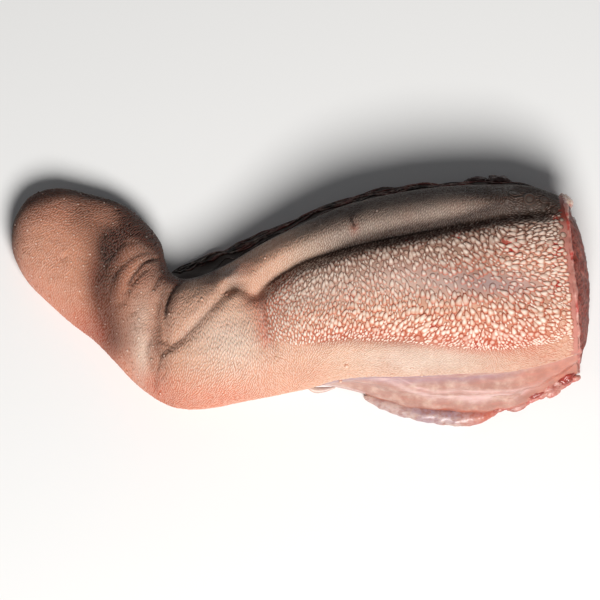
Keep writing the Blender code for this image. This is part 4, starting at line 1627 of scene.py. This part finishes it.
def papilla_material(name, skirt_share, body_share, top_share):
    """Papillae: a dark ring round the foot, partly reddened skin and partly painted shade in the crevice; a
    body near the skin's own colour, painted lighter towards its point; and a pale horny top, with painted
    glints on some.
    """
    settings = tongue_settings()
    material, wires = new_material(name)
    place = object_place(wires)
    colour, mask = skin_colour(wires, place)
    tone = wires.attribute("tone")
    # The ring: reddened skin on the near side, and painted shade in the crevice round the foot, darkest by
    # the groove.
    ring = wires.mix(settings.umber, settings.blush, mask["rust"])
    ring = wires.mix(ring, settings.blood, mask["blood"])
    ring_share = 0.55 + 0.45 * mask["field"] - 0.5 * mask["dun"] * (1.0 - mask["field"])
    ring = wires.mix(colour, ring, ring_share.clamped())
    skirt = wires.mix(colour, ring, skirt_share * (1.0 - mask["pale"] * 0.5))
    # Painted glints: some papillae get whiter bodies and tops than others.
    glint = wires.noise(place, 0.0028, 2.0).sharpened(0.5, 3.5)
    varied = 1.0 + mask["field"] * (glint - 0.55)
    body_share = ((body_share + mask["bristle"] * 0.30) * varied).clamped()
    tip = wires.attribute("tip")
    # Painted shade dims the papillae where the skin is shaded.
    lit = (1.0 - mask["shade"] * 0.75) * (1.0 - mask["dun"] * 0.08)
    # Painted light and shade: each body darker at its root and lighter towards its point.
    root = wires.mix(colour, skirt, 0.35)
    body = wires.mix(colour, settings.papilla, body_share * lit)
    body = wires.mix(root, body, tip.sharpened(0.40, 2.2))
    crown_share = (top_share + mask["bristle"] * 0.3) * lit * (varied - 0.20)
    crown = wires.mix(body, settings.papilla, crown_share.clamped())
    colour = wires.mix(skirt, body, tone.sharpened(0.46, 5.0))
    colour = wires.mix(colour, crown, tone.sharpened(0.90, 5.0))
    fine = wires.noise(place, 0.0012, 2.0)
    return close_material(material, wires, {
        "Base Color": colour,
        "Roughness": 0.40 + 0.14 * fine,
        "Specular IOR Level": 0.35,
        **under_light(0.08, (1.0, 0.45, 0.3), 0.002),
    })


def strand_material():
    """Fibres: dark brown to grey, with some red; the dark brown is partly the painted shade of the far wall.
    """
    settings = tongue_settings()
    material, wires = new_material("wall_strands")
    place = object_place(wires)
    cloudy = wires.noise(place, 0.012, 3.0, 0.6)
    fine = wires.noise(place, 0.003, 2.0)
    colour = wires.mix(settings.brown, settings.meat, cloudy.sharpened(0.5, 6.0) * 0.8)
    colour = wires.mix(colour, settings.grey, fine.sharpened(0.56, 6.0) * 0.6)
    return close_material(material, wires, {
        "Base Color": colour,
        "Roughness": 0.45,
        "Coat Weight": 0.2,
        "Coat Roughness": 0.2,
    })


def fat_material():
    """Fat and thin skin: pale pink lumps with red between them."""
    settings = tongue_settings()
    material, wires = new_material("corner_fat")
    place = object_place(wires)
    cloudy = wires.noise(place, 0.005, 3.0, 0.55)
    fine = wires.noise(place, 0.0018, 3.0, 0.6)
    colour = wires.mix(settings.pale, settings.fascia, cloudy.sharpened(0.50, 6.0))
    colour = wires.mix(colour, settings.blood, fine.sharpened(0.62, 7.0) * 0.5)
    bump = wires.bump(fine, 0.4, 0.0005)
    return close_material(material, wires, {
        "Base Color": colour,
        "Roughness": 0.32,
        **under_light(0.15, (1.0, 0.4, 0.3), 0.002),
        "Coat Weight": 0.3,
        "Coat Roughness": 0.2,
        "Normal": bump,
    })


def rim_material():
    """Torn fascia and fat: pink to red, with paler lumps."""
    settings = tongue_settings()
    material, wires = new_material("torn_fascia")
    place = object_place(wires)
    cloudy = wires.noise(place, 0.010, 3.0, 0.55)
    fine = wires.noise(place, 0.002, 3.0, 0.6)
    fresh = 1.0 - wires.along(place, "X", *FRESH_END)
    colour = wires.mix(settings.fascia, settings.blood, (cloudy.sharpened(0.54, 7.0) * 0.8 + fresh).clamped())
    colour = wires.mix(colour, settings.pale, fine.sharpened(0.62, 5.0) * 0.5)
    colour = wires.mix(colour, settings.meat, cloudy.sharpened(0.42, -6.0) * 0.7)
    bump = wires.bump(fine, 0.4, 0.0005)
    return close_material(material, wires, {
        "Base Color": colour,
        "Roughness": 0.38 + 0.2 * fine,
        **under_light(0.12, (1.0, 0.4, 0.3), 0.002),
        "Coat Weight": 0.2,
        "Coat Roughness": 0.25,
        "Normal": bump,
    })


def membrane_material():
    """The loose fold: pale pink, clouded with violet, and raw red at its rear end."""
    settings = tongue_settings()
    material, wires = new_material("loose_membrane")
    place = object_place(wires)
    stretched = wires.node("ShaderNodeMapping", None, {"Vector": place, "Scale": (0.25, 1.0, 1.0)})
    strands = wires.noise(stretched, 0.003, 4.0, 0.6)
    cloudy = wires.noise(place, 0.012, 3.0)
    mottle = wires.noise(place, 0.0025, 3.0, 0.6)
    violet = wires.along(place, "X", *VIOLET_END)
    rear = wires.along(place, "X", *RAW_END)
    skin = wires.mix(settings.membrane, settings.pale, 0.65)
    colour = wires.mix(skin, settings.bluish, (cloudy.sharpened(0.50, 4.0) * 0.4 + violet * 0.6).clamped())
    colour = wires.mix(colour, settings.sore, mottle.sharpened(0.54, 6.0) * (0.2 + violet * 0.5))
    colour = wires.mix(colour, settings.pale, strands.sharpened(0.58, 6.0) * 0.4)
    colour = wires.mix(colour, settings.blush, rear * (0.55 + 0.4 * mottle))
    bump = wires.bump(strands, 0.3, 0.0006)
    return close_material(material, wires, {
        "Base Color": colour,
        "Roughness": 0.34 + 0.2 * mottle,
        **under_light(0.15, (1.0, 0.4, 0.35), 0.003),
        "Coat Weight": 0.30,
        "Coat Roughness": 0.28,
        "Normal": bump,
    })


def meat_material():
    """Trimmings: dark red meat with some blood and fascia, painted dark brown towards the far side as shade.
    """
    settings = tongue_settings()
    material, wires = new_material("cut_meat")
    place = object_place(wires)
    cloudy = wires.noise(place, 0.004, 4.0, 0.6)
    fine = wires.noise(place, 0.0012, 3.0, 0.6)
    colour = wires.mix(settings.meat, settings.blood, cloudy.sharpened(0.52, 4.0) * 0.6)
    colour = wires.mix(colour, settings.fascia, fine.sharpened(0.60, 6.0) * 0.35)
    # Painted shade: darker towards the far side.
    colour = wires.mix(colour, settings.brown, wires.along(place, "Y", *FAR_SIDE) * 0.85)
    bump = wires.bump(fine, 0.4, 0.0006)
    return close_material(material, wires, {
        "Base Color": colour,
        "Roughness": 0.28 + 0.2 * cloudy,
        **under_light(0.1, (1.0, 0.3, 0.2), 0.002),
        "Coat Weight": 0.5,
        "Coat Roughness": 0.15,
        "Normal": bump,
    })


# Operators


class TONGUE_OT_body(bpy.types.Operator):
    """Skin, walls and cut face of the tongue, in place of the plain solid."""

    bl_idname = "tongue.body"
    bl_label = "Body"

    def execute(self, context):
        obj = add_object("tongue_body", body_mesh(body_form()))
        finish_piece(obj, body_material())
        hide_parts("tongue")
        return {"FINISHED"}


class TONGUE_OT_papillae(bpy.types.Operator):
    """Pointed papillae of every size over the upper side, coarse on the hump and fine on the rest."""

    bl_idname = "tongue.papillae"
    bl_label = "Papillae"

    def execute(self, context):
        spots, along = papilla_spots()
        clear = clear_of(spots, drawn_discs(), 0.75) & clear_of(spots, spots_at(WALLED), 0.62)
        clear &= clear_of(spots, spots_at(LONE_BUTTONS), 0.8) & clear_of(spots, drawn_buttons(), 0.9)
        coarse = (spots.sizes > COARSE_FROM) & (spots.masks["field"] > 0.5)
        medium = (spots.masks["field"] > 0.5) & ~coarse
        fine = ~coarse & ~medium
        horny = papilla_material("horny_papillae", 0.92, 0.38, 0.90)
        soft = papilla_material("soft_papillae", 0.92, 0.74, 1.0)
        velvet = papilla_material("fine_papillae", 0.66, 0.26, 0.30)
        scatter("papillae_coarse", chosen(spots, coarse & clear), COARSE_FORM, horny, 0.22, 0.40, seed=1)
        scatter("papillae_medium", chosen(spots, medium & clear), MEDIUM_FORM, soft, 0.18, 0.30, seed=2)
        for number, (name, first, last) in enumerate(FINE_RUNS):
            run = chosen(spots, fine & clear & (along >= first) & (along < last))
            scatter(name, run, FINE_FORM, velvet, 0.16, 0.30, seed=3 + number)
        return {"FINISHED"}


class TONGUE_OT_round_papillae(bpy.types.Operator):
    """Buttons of the tip and margins, flat discs of the hump, and walled papillae of the rear corners."""

    bl_idname = "tongue.round_papillae"
    bl_label = "Round papillae"

    def execute(self, context):
        white = papilla_material("button_papillae", 0.30, 0.55, 0.60)
        horny = papilla_material("disc_papillae", 0.90, 0.16, 0.45)
        scatter("buttons_small", drawn_buttons(), BUTTON_FORM, white, 0.15, 3.0, seed=5)
        scatter("buttons_lone", spots_at(LONE_BUTTONS), BUTTON_FORM, horny, 0.10, 3.0, seed=6)
        scatter("discs", drawn_discs(), DISC_FORM, horny, 0.12, 3.0, seed=7)
        walled = papilla_material("walled_papillae", 0.55, 0.18, 0.10)
        scatter("walled_papillae", spots_at(WALLED), WALLED_FORM, walled, 0.08, 0.5, seed=8)
        return {"FINISHED"}


class TONGUE_OT_membrane(bpy.types.Operator):
    """The loose fold of membrane at the foot of the near wall, and the small lip where that wall begins."""

    bl_idname = "tongue.membrane"
    bl_label = "Membrane"

    def execute(self, context):
        meshes = []
        for number, fold in enumerate((MEMBRANE, LIP)):
            course, radii = zip(*fold)
            radii = [radius * MEMBRANE_COVER for radius in radii]
            meshes.append(tube_mesh(
                "fold", course, radii, MEMBRANE_SQUASH, around=28, per_run=26, lump=MEMBRANE_LUMPS,
                pattern=12 + number, floor=CLEAR_OF_FLOOR,
            ))
        obj = add_object("membrane_fold", joined_mesh("membrane_fold", meshes))
        finish_piece(obj, membrane_material())
        return {"FINISHED"}


class TONGUE_OT_strands(bpy.types.Operator):
    """Fibres and torn vessels that cling to the far wall."""

    bl_idname = "tongue.strands"
    bl_label = "Strands"

    def execute(self, context):
        form = body_form()
        draw = np.random.default_rng(tongue_settings().seed + 3)
        far_wall = np.flatnonzero((form.across > -0.95) & (form.across < -0.10))
        last_ring = SKIN_RINGS - 8
        meshes = []
        for number in range(tongue_settings().strands):
            row = int(draw.uniform(np.searchsorted(form.along, STRANDS_FROM), last_ring - 20))
            steps = int(draw.uniform(*STRAND_STEPS))
            rows = np.minimum(row + np.arange(0, steps * 3, 3), last_ring)
            wander = np.cumsum(draw.uniform(-1.6, 1.6, len(rows)))
            columns = (far_wall[0] + draw.uniform(0, len(far_wall)) + wander).astype(int)
            columns = np.clip(columns, far_wall[0], far_wall[-1])
            radius = draw.uniform(*STRAND_RADII)
            course = form.points[rows, columns] + form.normals[rows, columns] * radius * 0.5
            meshes.append(tube_mesh(
                "strand", course, [radius] * len(course), squash=1.0, around=6, per_run=2, lump=STRAND_LUMPS,
                pattern=40 + number, floor=0.1,
            ))
        finish_piece(add_object("strands", joined_mesh("strands", meshes)), strand_material())
        return {"FINISHED"}


class TONGUE_OT_trimmings(bpy.types.Operator):
    """Ragged fat and meat round the cut and along the foot."""

    bl_idname = "tongue.trimmings"
    bl_label = "Trimmings"

    def execute(self, context):
        meshes = [scrap_mesh(scrap, number) for number, scrap in enumerate(SCRAPS)]
        finish_piece(add_object("trimmings", joined_mesh("trimmings", meshes)), meat_material())
        fat = [scrap_mesh(scrap, 90 + number, FAT_LUMPS, 0.3) for number, scrap in enumerate(FAT)]
        finish_piece(add_object("corner_fat", joined_mesh("corner_fat", fat)), fat_material())
        torn = rim_material()
        finish_piece(add_object("torn_foot", torn_foot_mesh()), torn)
        finish_piece(add_object("cut_rim", rim_mesh()), torn)
        return {"FINISHED"}


class TONGUE_OT_stage(bpy.types.Operator):
    """Floor, soft light and camera."""

    bl_idname = "tongue.stage"
    bl_label = "Stage"

    def execute(self, context):
        settings = stage_settings()
        make_floor(settings)
        make_lights(settings)
        make_camera(settings)
        context.scene.view_settings.view_transform = "Standard"
        return {"FINISHED"}


def make_floor(settings):
    bpy.ops.mesh.primitive_plane_add(size=FLOOR_SIZE, location=(0.0, 0.0, 0.0))
    floor = bpy.context.object
    floor.name = "floor"
    material, wires = new_material("floor_white")
    close_material(material, wires, {"Base Color": opaque(settings.floor), "Roughness": 0.9})
    floor.data.materials.append(material)


def aim(obj, target):
    direction = Vector(target) - obj.location
    obj.rotation_euler = direction.to_track_quat("-Z", "Y").to_euler()


# The large soft light, the colour of the surroundings, the camera's sensor and the floor
KEY_PLACE = (0.30, -1.30, 1.58)
KEY_TARGET = (0.0, 0.0, 0.03)
KEY_SIZE = 0.9
KEY_COLOUR = (1.0, 0.985, 0.96)
SKY_COLOUR = (0.95, 0.97, 1.0)
SENSOR_WIDTH = 36.0
FLOOR_SIZE = 6.0


def make_lights(settings):
    light = bpy.data.lights.new("key", "AREA")
    light.shape = "DISK"
    light.size = KEY_SIZE
    light.energy = settings.key
    light.color = KEY_COLOUR
    key = add_object("key", light)
    key.location = KEY_PLACE
    aim(key, KEY_TARGET)
    world = bpy.data.worlds.new("surroundings")
    bpy.context.scene.world = world
    world.use_nodes = True
    background = world.node_tree.nodes["Background"]
    background.inputs["Color"].default_value = opaque(SKY_COLOUR)
    background.inputs["Strength"].default_value = settings.fill


def make_camera(settings):
    data = bpy.data.cameras.new("camera")
    data.lens = settings.lens
    data.sensor_width = SENSOR_WIDTH
    data.clip_end = 20.0
    camera = add_object("camera", data)
    distance = settings.frame_width * data.lens / data.sensor_width
    back = Vector((0.0, -math.cos(settings.elevation), math.sin(settings.elevation)))
    target = Vector(body_form().shift) * MM
    camera.location = target + back * distance
    aim(camera, target)
    bpy.context.scene.camera = camera


class TONGUE_PT_panel(bpy.types.Panel):
    """Sidebar panel that lists the tongue's settings and pieces."""

    bl_idname = "TONGUE_PT_panel"
    bl_label = "Raw beef tongue"
    bl_space_type = "VIEW_3D"
    bl_region_type = "UI"
    bl_category = "Tongue"

    def draw(self, context):
        for operator in OPERATORS:
            self.layout.operator(operator.bl_idname)
        for settings in (tongue_settings(), stage_settings()):
            for name in settings.__annotations__:
                self.layout.prop(settings, name)


OPERATORS = (
    TONGUE_OT_body,
    TONGUE_OT_papillae,
    TONGUE_OT_round_papillae,
    TONGUE_OT_membrane,
    TONGUE_OT_trimmings,
    TONGUE_OT_strands,
    TONGUE_OT_stage,
)
CLASSES = (TongueSettings, StageSettings, *OPERATORS, TONGUE_PT_panel)


def register():
    for kind in CLASSES:
        bpy.utils.register_class(kind)
    bpy.types.Scene.beef_tongue = PointerProperty(type=TongueSettings)
    bpy.types.Scene.beef_tongue_stage = PointerProperty(type=StageSettings)


def unregister():
    del bpy.types.Scene.beef_tongue_stage
    del bpy.types.Scene.beef_tongue
    for kind in reversed(CLASSES):
        bpy.utils.unregister_class(kind)


def main():
    register()
    for operator in OPERATORS:
        family, name = operator.bl_idname.split(".")
        getattr(getattr(bpy.ops, family), name)()


if __name__ == "__main__":
    main()
